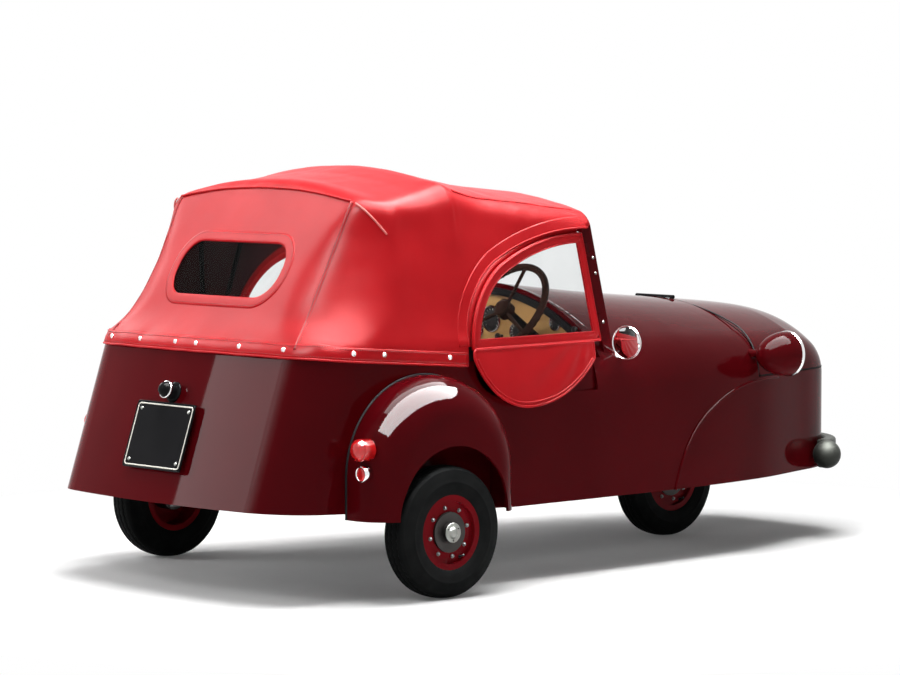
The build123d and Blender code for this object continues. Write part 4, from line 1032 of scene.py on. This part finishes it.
# Wheels
def tyre_piece(name, centre, side):
    """Tyre with zigzag tread grooves, a ring on the sidewall and a bead in its rim."""
    wall = [(38, 103.5), (41, 108), (45, 117), (49.5, 130), (51.2, 143), (51.8, 151), (52.6, 153)]
    wall += [(52.6, 155), (51.6, 157), (50.2, 168), (47.5, 180), (44, 189), (43.6, 191.2), (42.4, 192.4)]
    wall += [(38, 197.2), (34, 199.6)]
    tread = [(along, tyre_radius - 0.0031 * along * along) for along in np.linspace(32, -32, 47)]
    profile = wall + tread + [(-along, radius) for along, radius in reversed(wall)]
    profile.append((0, 102.6))
    steps = 216
    points = []
    for along, radius in profile:
        for index in range(steps):
            angle = 2 * math.pi * index / steps
            reach = radius
            if abs(along) < 30:
                saw = abs((index * 54 / steps) % 1 - 0.5) * 4 - 1
                for middle in (-19, 0, 19):
                    gap = abs(along - middle - 2.4 * saw)
                    reach -= 5.0 * max(0.0, 1 - (gap / 2.4) ** 4) if gap < 2.4 else 0
                sipe = (index * 54 / steps) % 1
                if 23 < abs(along) and sipe < 0.25:
                    reach -= 2.2
            points.append((reach * math.cos(angle), side * along, reach * math.sin(angle)))
    points = np.array(points) + np.asarray(centre, float)
    faces = grid_faces(len(profile), steps, close_rows=True, close_columns=True)
    return outward(piece_of(name, points, faces, rubber))


def dress_wheel(place, body, centre, side, cap_out):
    """Tyre, bolts, cap and valve of one wheel."""
    centre = np.asarray(centre, float)
    outer = np.array((0.0, float(side), 0.0))
    settle(tyre_piece(f"{place}_tyre_tread", centre, side), body, "tyre", f"{place}_tyre")
    spokes = [np.array((math.cos(turn), 0, math.sin(turn))) for turn in np.arange(8) * math.pi / 4 + 0.2]
    bolt, bolt_ring, disc_out = bolt_shape(4.6, 6.0), 76, 30.6
    bolts = [centre + bolt_ring * spoke + disc_out * outer for spoke in spokes]
    set_fittings(f"{place}_wheel_bolts", bolt, bolts, outer, spokes, steel, "steel", body, False)
    cap = [(-1, 0.01), (-1, 30.5), (0.8, 30.5), (1.8, 29.4), (1.8, 18.6), (2.4, 17.8), (5, 16.8), (8, 13.6)]
    cap = [(cap_out + along, radius) for along, radius in cap + [(10, 8.5), (10.8, 0.01)]]
    turned(f"{place}_hub_cap", cap, centre, outer, polished, "hub_metal", body=body)
    spokes = [np.array((math.cos(turn), 0, math.sin(turn))) for turn in np.radians((30, 150, 270))]
    screw, screw_ring, flange = screw_shape(2.6, 1.8), 24, 1.8
    screws = [centre + screw_ring * spoke + (cap_out + flange) * outer for spoke in spokes]
    set_fittings(f"{place}_cap_screws", screw, screws, outer, spokes, dial_face, "black_trim", body)
    stem = centre + 92 * np.array((0.5, 0, -0.866)) + 26 * outer
    valve = ((0, 0.01), (0, 4.5), (9, 4.2), (10, 3.2), (22, 3.0), (23, 3.6), (30, 3.6), (31, 0.01))
    stem_way = outer - np.array((0.18, 0, -0.3))
    turned(f"{place}_valve", valve, stem, stem_way, dial_face, "black_trim", 16, body)
    lip = [(31.0, 112.0), (37.0, 113.0), (39.5, 116.5), (39.5, 119.5)]
    lip += [(37.5, 121.0), (34.5, 119.0), (31.5, 116.0), (31.0, 112.0)]
    turned(f"{place}_rim_lip", lip, centre, outer, wheel_paint, "wheel_paint", 96, body)


for side_name, side in SIDES.items():
    dress_wheel(f"rear_{side_name}", f"rear_{side_name}_wheel", (0, side * wheel_y, tyre_radius), side, 52)
dress_wheel("front", "front_wheel", (wheelbase, 0, tyre_radius), -1, 44)

# Beads and piping on the body
swoop = np.array(
    (
        (1728, 462, 575), (1642, 488, 578), (1548, 507, 570), (1463, 519, 552), (1379, 530, 520),
        (1296, 542, 475), (1237, 549, 423), (1193, 551, 360), (1163, 553, 296), (1144, 554, 238),
    ),
    float,
)
arch_turns = np.radians(np.linspace(180, 0, 60))
arch_radius, arch_z, foot_heights = 300, 377, (252, 300, 340)
wing_line = [(-arch_radius, z) for z in foot_heights]
wing_line += [(arch_radius * math.cos(turn), arch_z + arch_radius * math.sin(turn)) for turn in arch_turns]
wing_line = even(wing_line + [(arch_radius, z) for z in reversed(foot_heights)], 10)
for side_name, side in SIDES.items():
    fine = (even(swoop, 6) + (0, 3, 0)) * (1, side, 1)
    for _ in range(12):
        fine[1:-1] = (fine[:-2] + 2 * fine[1:-1] + fine[2:]) / 4
    bead(f"swoop_bead_{side_name}", fine, (0, side, 0.1), 5.0, body_paint, "body_paint", 10)
    edge = np.stack([wing_line[:, 0], np.full(len(wing_line), side * 591.5), wing_line[:, 1]], axis=1)
    bead(f"wing_piping_{side_name}", edge, (0, side, 0), 4.2, black_leather, "black_trim", 10)

# Front body and bonnet: their panels drawn smooth between the sections
# Columns: station, half width, shoulder height, crown height
front_rows = np.array(
    (
        (770, 575, 575, 918), (1250, 548, 570, 866), (1600, 500, 572, 836), (1900, 412, 592, 808),
        (2010, 377, 585, 790), (2090, 337, 572, 763), (2150, 274, 550, 720), (2180, 212, 528, 672),
        (2189, 160, 510, 632),
    ),
    float,
)


def smooth_through(stations, values, at):
    """Smooth curve through values that doesn't overshoot them."""
    steps = np.diff(stations)
    slopes = np.diff(values) / steps
    inner = np.zeros(len(values))
    for k in range(1, len(values) - 1):
        if slopes[k - 1] * slopes[k] > 0:
            before, after = 2 * steps[k] + steps[k - 1], steps[k] + 2 * steps[k - 1]
            inner[k] = (before + after) / (before / slopes[k - 1] + after / slopes[k])
    inner[0], inner[-1] = slopes[0], slopes[-1]
    span = np.clip(np.searchsorted(stations, at) - 1, 0, len(steps) - 1)
    width = steps[span]
    share = np.clip((at - stations[span]) / width, 0, 1)
    low, high = values[span], values[span + 1]
    ease = share * share * (3 - 2 * share)
    bend = width * (share * (1 - share) ** 2 * inner[span] - share**2 * (1 - share) * inner[span + 1])
    return low * (1 - ease) + high * ease + bend


def smooth_panel(name, node, body):
    """Copy of a panel, cut fine and drawn onto the smooth form through the same sections."""
    work = bmesh.new()
    work.from_mesh(cad[node].data)
    work.transform(cad[node].matrix_world)
    bmesh.ops.remove_doubles(work, verts=work.verts, dist=0.02 * MM)
    bmesh.ops.dissolve_limit(work, angle_limit=0.002, verts=work.verts, edges=work.edges)
    cuts = [*np.arange(790, 2100, 20), *np.arange(2100, 2189, 6)]
    for cut in cuts:
        whole = work.verts[:] + work.edges[:] + work.faces[:]
        place = (rear_axle_x + cut * MM, 0, 0)
        bmesh.ops.bisect_plane(work, geom=whole, dist=0.005 * MM, plane_co=place, plane_no=(1, 0, 0))
    bmesh.ops.triangulate(work, faces=[face for face in work.faces if len(face.verts) > 4])
    points = np.array([vertex.co for vertex in work.verts])
    stations = (points[:, 0] - rear_axle_x) / MM
    inside = np.clip(stations, front_rows[0, 0], front_rows[-1, 0])
    ruled = [np.interp(inside, front_rows[:, 0], front_rows[:, k]) for k in (1, 2, 3)]
    smooth = [smooth_through(front_rows[:, 0], front_rows[:, k], inside) for k in (1, 2, 3)]
    points[:, 1] *= smooth[0] / ruled[0]
    climb = np.clip((points[:, 2] / MM - ruled[1]) / (ruled[2] - ruled[1]), 0, 1)
    points[:, 2] += climb * (smooth[2] - ruled[2]) * MM
    for vertex, point in zip(work.verts, points):
        vertex.co = point
    mesh = bpy.data.meshes.new(name)
    work.to_mesh(mesh)
    work.free()
    mesh.polygons.foreach_set("use_smooth", [True] * len(mesh.polygons))
    mesh.set_sharp_from_angle(angle=math.radians(32))
    mesh.materials.append(body_paint)
    mesh.materials.append(black_paint)
    for polygon in mesh.polygons:
        x, y, z = (polygon.center - Vector((rear_axle_x, 0, 0))) / MM
        proud = z - 836 + y * y / 1705 + max(0.0, x - 1600) * 0.1
        if 1575 < x < 1632 and abs(y) < 93 and proud > 1.0:
            polygon.material_index = 1
    settle(show(name, mesh), body, "body_paint", node)


smooth_panel("front_body_skin", "front_body", "body")
smooth_panel("bonnet_skin", "bonnet", "bonnet")


def arch_line(half, low, shoulder, crown_z, radius, steps=40):
    """Half of a front section from its low edge to the crown, as distance out and height."""
    reach, rise = half - radius, crown_z - shoulder
    crown = (reach**2 + rise**2 - radius**2) / (2 * (rise - radius))
    turn = math.atan2(crown - rise, reach)
    line = [(half, low)]
    bends = np.linspace(0, turn, steps)
    line += [(reach + radius * math.cos(t), shoulder + radius * math.sin(t)) for t in bends]
    out, drop = reach + radius * math.cos(turn), crown_z - shoulder - radius * math.sin(turn)
    bends = np.linspace(math.atan2(out, crown - drop), 0, steps)[1:]
    line += [(crown * math.sin(t), crown_z - crown + crown * math.cos(t)) for t in bends]
    return np.array(line)


# Rubber seals in the bonnet's seams
seam_half = arch_line(500 - 1.6, 590, 572 + 18, 836 - 2.2, 183)
seam_line = even(np.concatenate([seam_half * (-1, 1), seam_half[::-1][1:]]), 12)
seam_path = np.stack([np.full(len(seam_line), 1603.0), seam_line[:, 0], seam_line[:, 1]], axis=1)
seam_ups = unit(seam_path - (1603.0, 0, 560))
seam_path = seam_path - 4.0 * seam_ups
hinge_free = np.abs(seam_path[:, 1]) > 98
for side_name, side in SIDES.items():
    chosen = hinge_free & (seam_path[:, 1] * side > 0)
    bead(f"bonnet_seal_{side_name}", seam_path[chosen], seam_ups[chosen], 2.9, black_leather, "black_trim")
    stations = np.arange(1610, 2186, 6.0)
    halves = smooth_through(front_rows[:, 0], front_rows[:, 1], stations) - 4.5
    low_path = np.stack([stations, side * halves, np.full(len(stations), 588.0)], axis=1)
    bead(f"nose_seal_{side_name}", low_path, (0, side, 0), 2.9, black_leather, "black_trim")

# Grille: bowed bright bars before the plain ones
bar_half, bar_front, bar_bow, bar_low, bar_pitch = 172, 2200, 14, 404.0, 38
bow_y = np.linspace(-bar_half, bar_half, 50)
bow_x = bar_front - bar_bow * (np.abs(bow_y) / bar_half) ** 2.4
bars = []
for bar in range(5):
    path = np.stack([bow_x, bow_y, np.full(50, bar_low + bar_pitch * bar)], axis=1)
    bars.append(sweep("bar", path, (0, 0, 1), round_profile(5.5, 10), chrome))
settle(joined("grille_bow_bars", bars), "body", "chrome")

# Painted corners of the entry cut, under the flaps
for side_name, side in SIDES.items():
    stations = np.linspace(566, 771, 28)
    edge = bulged((566, 588), (771, 728), 16, 24)
    tops = np.interp(stations, edge[:, 0], edge[:, 1])
    climb = np.linspace(0, 1, 12)[:, None]
    heights = 586 + (tops - 586)[None] * climb
    flush = np.interp(stations, (300, 770), (588, 575))[None] - np.maximum(heights - 575, 0) ** 2 / 425 - 0.4
    outs = np.minimum(flush, flap_out(stations[None], heights) - 7)
    outer = np.stack([np.tile(stations, (12, 1)), side * outs, heights], axis=-1)
    inner = (outer - (0, side * 3.0, 0))[::-1]
    corner = strip(f"entry_corner_{side_name}", np.concatenate([outer, inner]), body_paint)
    settle(corner, "body", "body_paint")

# Rear plate: blank, with a border line and four screws
tail_out = np.array((-0.9485, 0.0, 0.3168))
tail_up = np.array((0.3168, 0.0, 0.9485))
plate_middle = np.array((tail_x(478), 0, 478)) + 16 * tail_out


def rounded_rectangle(half_wide, half_tall, radius, steps=8):
    """Closed loop of a rectangle with round corners."""
    loop = []
    for start, (cy, cz) in zip((0, 90, 180, 270), ((1, 1), (-1, 1), (-1, -1), (1, -1))):
        for angle in np.radians(np.linspace(start, start + 90, steps)):
            out, up = radius * math.cos(angle), radius * math.sin(angle)
            loop.append((cy * (half_wide - radius) + out, cz * (half_tall - radius) + up))
    return even(loop, 5, closed=True)


def on_plate(loop, lift):
    """Places on the plate from distances to the left and up."""
    loop = np.asarray(loop, float)
    return plate_middle + loop[:, :1] * np.array((0, 1.0, 0)) + loop[:, 1:] * tail_up + lift * tail_out


line_profile = ((-2.2, -0.5), (-2.0, 0.5), (2.0, 0.5), (2.2, -0.5))
line_loop = on_plate(rounded_rectangle(136, 98, 9), 0.6)
settle(sweep("plate_border", line_loop, tail_out, line_profile, cream, True), "body", "chrome")
rim_loop = on_plate(rounded_rectangle(143, 105, 12), 0.4)
bead("plate_edge_bead", rim_loop, tail_out, 2.2, black_paint, "black_paint", closed=True)
screw_spots = on_plate([(y, z) for y in (-118, 118) for z in (-82, 82)], 0.2)
screw = screw_shape(6.0, 3.6)
set_fittings("plate_screws", screw, screw_spots, tail_out, (0.3, 0.8, 0.9), polished, "chrome")

# Plate lamp: bright ring, and a base on the tail
lamp_foot = np.array((tail_x(614), 0, 614))
ring_profile = [(3, 24.6), (3, 27.2), (-3, 27.6), (-5, 26.4), (-5, 24.4), (3, 24.6)]
turned("plate_lamp_ring", ring_profile, lamp_foot + 34 * tail_out, tail_out, chrome, "chrome", 40)
base_profile = [(0, 0.01), (0, 34), (3, 33), (6, 27), (7, 12), (7, 0.01)]
turned("plate_lamp_base", base_profile, lamp_foot, tail_out, black_paint, "black_paint", 40)

# Lamps and reflectors on the wings
lamp_lenses, lamp_rings, reflector_lenses, reflector_rings = [], [], [], []
for side in SIDES.values():
    lamp = np.array((-326.0, side * 673, 470))
    dome = [(-44, 0.01), (-44, 31), (-8, 31.5), (-2, 30.6), (3, 28), (8, 23.6), (12, 17.6), (14.6, 10)]
    dome.append((15.4, 0.01))
    lamp_lenses.append(lathe("dome", dome, lamp, (-1, 0, 0), red_lens, 48))
    collar = [(-46, 33), (-12, 33), (-8, 34), (-5, 33.6), (-4, 31.6), (-8, 31.4), (-46, 31.4), (-46, 33)]
    lamp_rings.append(lathe("collar", collar, lamp, (-1, 0, 0), red_lens, 48))
    disc = np.array((-312.0, side * 673, 398))
    face = [(-30, 0.01), (-30, 19.5), (-1, 19.5), (0.4, 18), (1.4, 12), (1.8, 0.01)]
    reflector_lenses.append(lathe("face", face, disc, (-1, 0, 0), red_lens, 40))
    band = [(-30, 25), (-3, 25), (0.5, 24.2), (2, 22.4), (1.6, 20.4), (-1, 19.6), (-30, 19.6), (-30, 25)]
    reflector_rings.append(lathe("band", band, disc, (-1, 0, 0), chrome, 40))
settle(joined("tail_lamp_domes", lamp_lenses), "body", "red_lens", "tail_lamps")
settle(joined("tail_lamp_collars", lamp_rings), "body", "red_lens", "tail_lamps")
settle(joined("reflector_faces", reflector_lenses), "body", "red_lens", "reflectors")
settle(joined("reflector_rings", reflector_rings), "body", "chrome", "reflectors")

# Headlamps: chrome rims, reflector bowls and bulbs
rims, bowls = [], []
for side in SIDES.values():
    front = np.array((1652.0, side * 580, 665))
    rim_shape = [(-5, 75.4), (0, 77.2), (5, 77.0), (8, 74.5), (8.5, 70.5), (6, 67.6), (2, 67.4), (2, 75.0)]
    rim_shape += [(-5, 75.0), (-5, 75.4)]
    rims.append(lathe("rim", rim_shape, front, (1, 0, 0), chrome, 64))
    bowl = [(2.5, 0.01), (2.6, 14), (4.2, 34), (7.2, 52), (11, 64), (10.2, 64.6), (6, 52), (3, 34), (1.2, 14)]
    bowl.append((1.2, 0.01))
    bowls.append(lathe("bowl", bowl, front, (1, 0, 0), chrome, 48))
    bulb = [(2, 0.01), (2, 6), (7, 6), (9, 9), (13, 11), (17, 9.4), (20, 4.5), (21, 0.01)]
    bowls.append(lathe("bulb", bulb, front, (1, 0, 0), lamp_glass, 24))
settle(joined("headlamp_rims", rims), "body", "chrome")
settle(joined("headlamp_bowls", bowls), "body", "chrome")

# Mirror: domed back with a rolled rim, its glass, and an arm with a ball joint
mirror_turn = math.radians(15)
mirror_way = np.array((-math.cos(mirror_turn), -math.sin(mirror_turn), 0))
mirror_middle = np.array((880.0, -600, 737))
mirror_arm = np.array((20.0, 120, -70))
shell = [(9.5, 51), (11, 51.6), (11.8, 53), (11, 54.4), (9, 54.4), (5, 52), (0, 46.5), (-5, 37), (-9, 23)]
shell += [(-11, 10), (-11.2, 0.01), (9.5, 0.01)]
mirror_shell = lathe("shell", shell, mirror_middle, mirror_way, chrome, 64)
arm_path = mirror_middle + np.linspace(0.0, 0.97, 24)[:, None] * mirror_arm - np.array((-6, 0, 0))
arm_stem = sweep("stem", arm_path, (1, 0, 0), round_profile(5.4, 12), chrome)
half_turn = np.linspace(-math.pi / 2, math.pi / 2, 17)
ball = [(16 * math.sin(turn), max(16 * math.cos(turn), 0.01)) for turn in half_turn]
arm_ball = lathe("ball", ball, mirror_middle + 0.6 * mirror_arm + (6, 0, 0), mirror_arm, chrome, 32)
settle(joined("mirror_head", [mirror_shell, arm_stem, arm_ball]), "body", "chrome", "mirror")
glass = [(13.6 - (radius / 50) ** 2 * 3.4, max(radius, 0.01)) for radius in np.linspace(0, 50.6, 24)]
glass += [(9.0, 50.6), (9.0, 0.01)]
turned("mirror_glass", glass, mirror_middle, mirror_way, mirror_silver, "chrome", 64)

# Windscreen post screws
post_spots = ((797, 522, 1010), (831, 536, 802), (806, 525, 960))
post_screws = [(x, side * y, z) for side in SIDES.values() for x, y, z in post_spots]
facing = [(0.15, side, 0.07) for side in SIDES.values() for _ in post_spots]
set_fittings("post_screws", screw_shape(5.0, 3.0), post_screws, facing, (0.2, 0, 1), polished, "chrome")

# Dashboard: dials with cream marks, and knobs
dash_face = 826
dials, knobs, mark_places, mark_ways = [], [], [], []
for y, z, radius in ((-10, 790, 44), (-132, 752, 30), (-319, 790, 26), (60, 752, 30)):
    middle = np.array((dash_face, y, z), float)
    ring = [(-2, radius + 2), (4, radius + 2), (7, radius), (7.5, radius - 2.5), (4, radius - 4)]
    ring += [(2, radius - 4), (-2, radius + 2)]
    dials.append(lathe("ring", ring, middle, (-1, 0, 0), chrome, 40))
    face = [(-2, 0.01), (-2, radius - 3), (2.4, radius - 3), (2.6, radius * 0.5), (2.6, 0.01)]
    dials.append(lathe("face", face, middle, (-1, 0, 0), dial_face, 40))
    for turn in np.radians(np.linspace(-40, 220, 12)):
        way = np.array((0, math.cos(turn), math.sin(turn)))
        mark_places.append(middle + radius * 0.74 * way - (3.0, 0, 0))
        mark_ways.append(way)
# Each step of a knob: distance out and share of its radius
knob_steps = ((-2, 0.5), (14, 0.45), (15, 0.85), (19, 1), (25, 0.9), (28, 0.5))
for y, z, radius in ((-428, 772, 13), (-234, 745, 12), (-60, 735, 11), (130, 752, 12), (190, 752, 12)):
    knob = [(-2, 0.01), *((along, radius * share) for along, share in knob_steps), (28.6, 0.01)]
    knobs.append(lathe("knob", knob, (dash_face, y, z), (-1, 0, 0), dial_face, 24))
settle(joined("dash_dials", dials), "body", "chrome")
settle(joined("dash_knobs", knobs), "body", "black_trim")
set_fittings("dial_marks", stitch_shape(6.0, 1.6), mark_places, (-1, 0, 0), mark_ways, cream, "black_trim")

# Steering wheel: horn button and finger grips under the rim
wheel_axis = np.array((-0.819152, 0, 0.573576))
wheel_middle = np.array((680.0, -230, 835))
button = [(8, 0.01), (8, 30.5), (18, 30.5), (20, 29), (21, 24), (22.5, 22), (25, 20), (27.5, 13)]
button.append((28.4, 0.01))
turned("horn_button", button, wheel_middle, wheel_axis, brown_plastic, "black_trim", 40, "steering_wheel")
wheel_aside = np.array((0, 1.0, 0))
wheel_up = np.cross(wheel_axis, wheel_aside)
turns = np.arange(48) * math.pi / 24
grips = [math.cos(turn) * wheel_aside + math.sin(turn) * wheel_up for turn in turns]
grip_places = [wheel_middle + 166 * grip - 10.6 * wheel_axis for grip in grips]
grip_ways = [np.cross(wheel_axis, grip) for grip in grips]
set_fittings(
    "wheel_grips", stitch_shape(15.0, 7.0), grip_places, -wheel_axis, grip_ways, brown_plastic, "black_trim",
    "steering_wheel",
)


# Seat: cushions blown up by cloth pressure, then sewn into flutes, with sizes in metres
seat_voxel, seat_swell, flute_depth = 0.011, 0.016, 0.009
seat_pressure, seat_frames = 4.0, 20


def padded_seat(name, node, flute_axis, flutes):
    """Padded copy of a seat solid, with its front and top swelling between sewn flutes."""
    solid = cad[node]
    source = bpy.data.meshes.new(name)
    work = bmesh.new()
    work.from_mesh(solid.data)
    work.transform(solid.matrix_world)
    bmesh.ops.remove_doubles(work, verts=work.verts, dist=0.0001)
    work.to_mesh(source)
    work.free()
    seat = show(name, source)
    source.materials.clear()
    source.materials.append(seat_leather)
    points = np.array([vertex.co for vertex in source.vertices])
    middle = (points.min(axis=0) + points.max(axis=0)) / 2
    for vertex in source.vertices:
        vertex.co = Vector(middle) + (vertex.co - Vector(middle)) * 0.96
    remesh = seat.modifiers.new("remesh", "REMESH")
    remesh.mode = "VOXEL"
    remesh.voxel_size = seat_voxel
    seat.data = bpy.data.meshes.new_from_object(seat.evaluated_get(bpy.context.evaluated_depsgraph_get()))
    seat.modifiers.clear()
    start = np.array([vertex.co for vertex in seat.data.vertices])
    cloth = seat.modifiers.new("swell", "CLOTH")
    cloth.settings.use_pressure = True
    cloth.settings.uniform_pressure_force = seat_pressure
    cloth.settings.effector_weights.gravity = 0
    cloth.point_cache.frame_end = seat_frames
    for frame_number in range(1, seat_frames + 1):
        scene.frame_set(frame_number)
    swollen = bpy.data.meshes.new_from_object(seat.evaluated_get(bpy.context.evaluated_depsgraph_get()))
    seat.modifiers.remove(cloth)
    end = np.array([vertex.co for vertex in swollen.vertices])
    move = end - start
    length = np.linalg.norm(move, axis=1, keepdims=True)
    start = start + move * np.minimum(1, seat_swell / np.maximum(length, 1e-9))
    bpy.data.meshes.remove(swollen)
    scene.frame_set(1)
    low, high = start.min(axis=0), start.max(axis=0)
    share = (start[:, 1] - low[1]) / (high[1] - low[1])
    rib = np.abs(np.sin(math.pi * flutes * share)) ** 0.6
    normals = np.array([vertex.normal for vertex in seat.data.vertices])
    facing = np.clip(normals @ np.array(flute_axis), 0, 1) ** 2
    start = start + normals * ((rib - 0.75) * flute_depth * facing)[:, None]
    solid_low, solid_high = [np.array(corner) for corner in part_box(node)]
    start = np.clip(start, solid_low - (0.004, 0.012, 0.001), solid_high + (0.004, 0.012, 0.014))
    seat.data.vertices.foreach_set("co", start.ravel())
    seat.data.materials.clear()
    seat.data.materials.append(seat_leather)
    seat.data.polygons.foreach_set("use_smooth", [True] * len(seat.data.polygons))
    smooth = seat.modifiers.new("smooth", "SUBSURF")
    smooth.levels = smooth.render_levels = 1
    settle(seat, "body", "seat_cloth", node)


padded_seat("seat_cushion_padding", "seat_cushion", (0, 0, 1), 14)
padded_seat("seat_back_padding", "seat_back", (0.98, 0, 0.2), 14)

# Camera as fitted to the photo
camera_data = bpy.data.cameras.new("photo_camera")
camera_data.lens = 143.6
camera_data.sensor_width = 36
camera_data.sensor_fit = "HORIZONTAL"
camera = show("photo_camera", camera_data)
camera.location = (-8.052, -8.813, 1.497)
camera.rotation_euler = (math.radians(90 - 3.69), 0, math.radians(-41.81))
scene.camera = camera
scene.view_settings.view_transform = "Standard"


def soft_light(name, place, aim, size, power, card=False, panels=()):
    """Softbox that faces a point, or a card that only shows in reflections, kept to a few panels if named."""
    lamp = bpy.data.lights.new(name, "AREA")
    lamp.shape = "RECTANGLE"
    lamp.size, lamp.size_y = size
    lamp.energy = power
    holder = show(name, lamp)
    holder.location = place
    holder.rotation_euler = (Vector(aim) - Vector(place)).to_track_quat("-Z", "Y").to_euler()
    holder.visible_camera = False
    holder.visible_glossy = card
    holder.visible_diffuse = not card
    holder.visible_transmission = False
    if panels:
        receivers = bpy.data.collections.new(f"{name}_panels")
        for panel in panels:
            receivers.objects.link(bpy.data.objects[panel])
        holder.light_linking.receiver_collection = receivers


# Softboxes that light the car evenly
tail, wings = ("tail_body",), ("wing_left", "wing_right")
soft_light("overhead_softbox", (0.2, 0.0, 4.8), (0, 0, 0.5), (5.2, 4.4), 110)
soft_light("overhead_strip", (-0.4, -0.5, 4.6), (-0.4, -0.3, 0), (4.6, 1.6), 300)
soft_light("rear_left_high", (-2.9, 4.2, 4.6), (-0.6, 0, 0.9), (3.6, 1.6), 32)
soft_light("rear_high_softbox", (-4.8, -0.4, 4.6), (-0.6, 0, 0.9), (2.0, 1.6), 68)
soft_light("left_panel", (0.8, 6.0, 1.7), (-0.3, 0, 0.9), (3.0, 2.4), 32)
soft_light("left_fill", (-2.7, 1.9, 1.0), (-1.3, 0.4, 0.5), (0.8, 0.8), 20)
soft_light("right_softbox", (0.2, -6.4, 3.4), (0, 0, 0.6), (3.2, 1.4), 42)
soft_light("front_left_panel", (5.0, 4.0, 3.4), (0.4, 0, 1.2), (6.0, 4.4), 29)
soft_light("tail_fill", (-2.7, 1.9, 1.0), (-1.3, 0.4, 0.5), (0.8, 0.8), 45, panels=tail)
soft_light("cabin_fill", (-0.62, 0.0, 1.12), (0.1, -0.1, 0.75), (0.5, 0.3), 5)
# Bright cards that only show as reflections, the last ones a streak that fades across the tail
soft_light("wing_card", (-0.6, -2.4, 4.5), (-0.6, -2.4, 0), (8.8, 3.8), 22000, True, wings)
soft_light("overhead_card", (0.0, -1.4, 4.5), (0.0, -1.4, 0), (5.6, 4.2), 3600, True)
soft_light("rear_left_card", (-2.9, 4.2, 4.6), (-0.6, 0, 0.9), (3.6, 1.6), 480, True)
soft_light("rear_high_card", (-4.8, -0.4, 4.6), (-0.6, 0, 0.9), (2.0, 1.6), 800, True)
soft_light("left_high_card", (-1.0, 5.0, 3.2), (-1.0, 0.2, 1.0), (2.6, 1.6), 90, True)
soft_light("tail_card", (-5.0, 3.0, 2.4), (-0.5, 0, 0.7), (1.5, 3.0), 240, True, tail)
fade_steps = 8
for k in range(fade_steps):
    share = (k + 0.5) / fade_steps
    place = (-5.4 - 0.4 * share, 2.3 - 2.4 * share, 2.4)
    power = 52 * (1 - share) ** 1.5
    soft_light(f"tail_card_fade_{k}", place, (-0.5, 0, 0.7), (0.32, 3.0), power, True, tail)


def studio_world():
    """White room for the camera, reflections and glass, and a dim one for the even light."""
    world = bpy.data.worlds.new("white_studio")
    world.use_nodes = True
    tree = world.node_tree
    make, link = tree.nodes.new, tree.links.new
    white = tree.nodes["Background"]
    white.inputs["Color"].default_value = (1, 1, 1, 1)
    paths = make("ShaderNodeLightPath")
    mirrored = make("ShaderNodeMath")
    mirrored.operation = "MAXIMUM"
    link(paths.outputs["Is Glossy Ray"], mirrored.inputs[0])
    link(paths.outputs["Is Transmission Ray"], mirrored.inputs[1])
    seen = make("ShaderNodeMath")
    seen.operation = "MAXIMUM"
    link(paths.outputs["Is Camera Ray"], seen.inputs[0])
    link(mirrored.outputs["Value"], seen.inputs[1])
    room = make("ShaderNodeBackground")
    room.inputs["Color"].default_value = (0.06, 0.06, 0.06, 1)
    mix = make("ShaderNodeMixShader")
    link(seen.outputs["Value"], mix.inputs["Fac"])
    link(room.outputs["Background"], mix.inputs[1])
    link(white.outputs["Background"], mix.inputs[2])
    link(mix.outputs["Shader"], tree.nodes["World Output"].inputs["Surface"])
    return world


scene.world = studio_world()

floor_mesh = bpy.data.meshes.new("studio_floor")
reach = 60.0
corners = [(x * reach, y * reach, 0) for x, y in ((-1, -1), (1, -1), (1, 1), (-1, 1))]
floor_mesh.from_pydata(corners, [], [(0, 1, 2, 3)])
floor = show("studio_floor", floor_mesh)


def floor_material():
    """White floor that keeps the car's shadow near it."""
    finish = Finish("white_floor", Roughness=0.95, Specular_IOR_Level=0.0)
    finish.colours(finish.grain(3.0), (0.4, (0.84, 0.84, 0.84)), (0.6, (0.86, 0.86, 0.86)))
    make, link = finish.tree.nodes.new, finish.tree.links.new
    glow = finish.node("ShaderNodeEmission", Color=(1, 1, 1, 1), Strength=0.06)
    lit = make("ShaderNodeAddShader")
    link(finish.shader.outputs["BSDF"], lit.inputs[0])
    link(glow.outputs["Emission"], lit.inputs[1])
    white = finish.node("ShaderNodeEmission", Color=(1, 1, 1, 1), Strength=1.0)
    reach = finish.node("ShaderNodeVectorMath")
    reach.operation = "LENGTH"
    link(finish.place, reach.inputs[0])
    fade = finish.node("ShaderNodeMapRange", Value=reach.outputs["Value"], From_Min=1.5, From_Max=2.6)
    near = make("ShaderNodeMixShader")
    link(fade.outputs["Result"], near.inputs["Fac"])
    link(lit.outputs["Shader"], near.inputs[1])
    link(white.outputs["Emission"], near.inputs[2])
    link(near.outputs["Shader"], finish.tree.nodes["Material Output"].inputs["Surface"])
    return finish.material


floor_mesh.materials.append(floor_material())
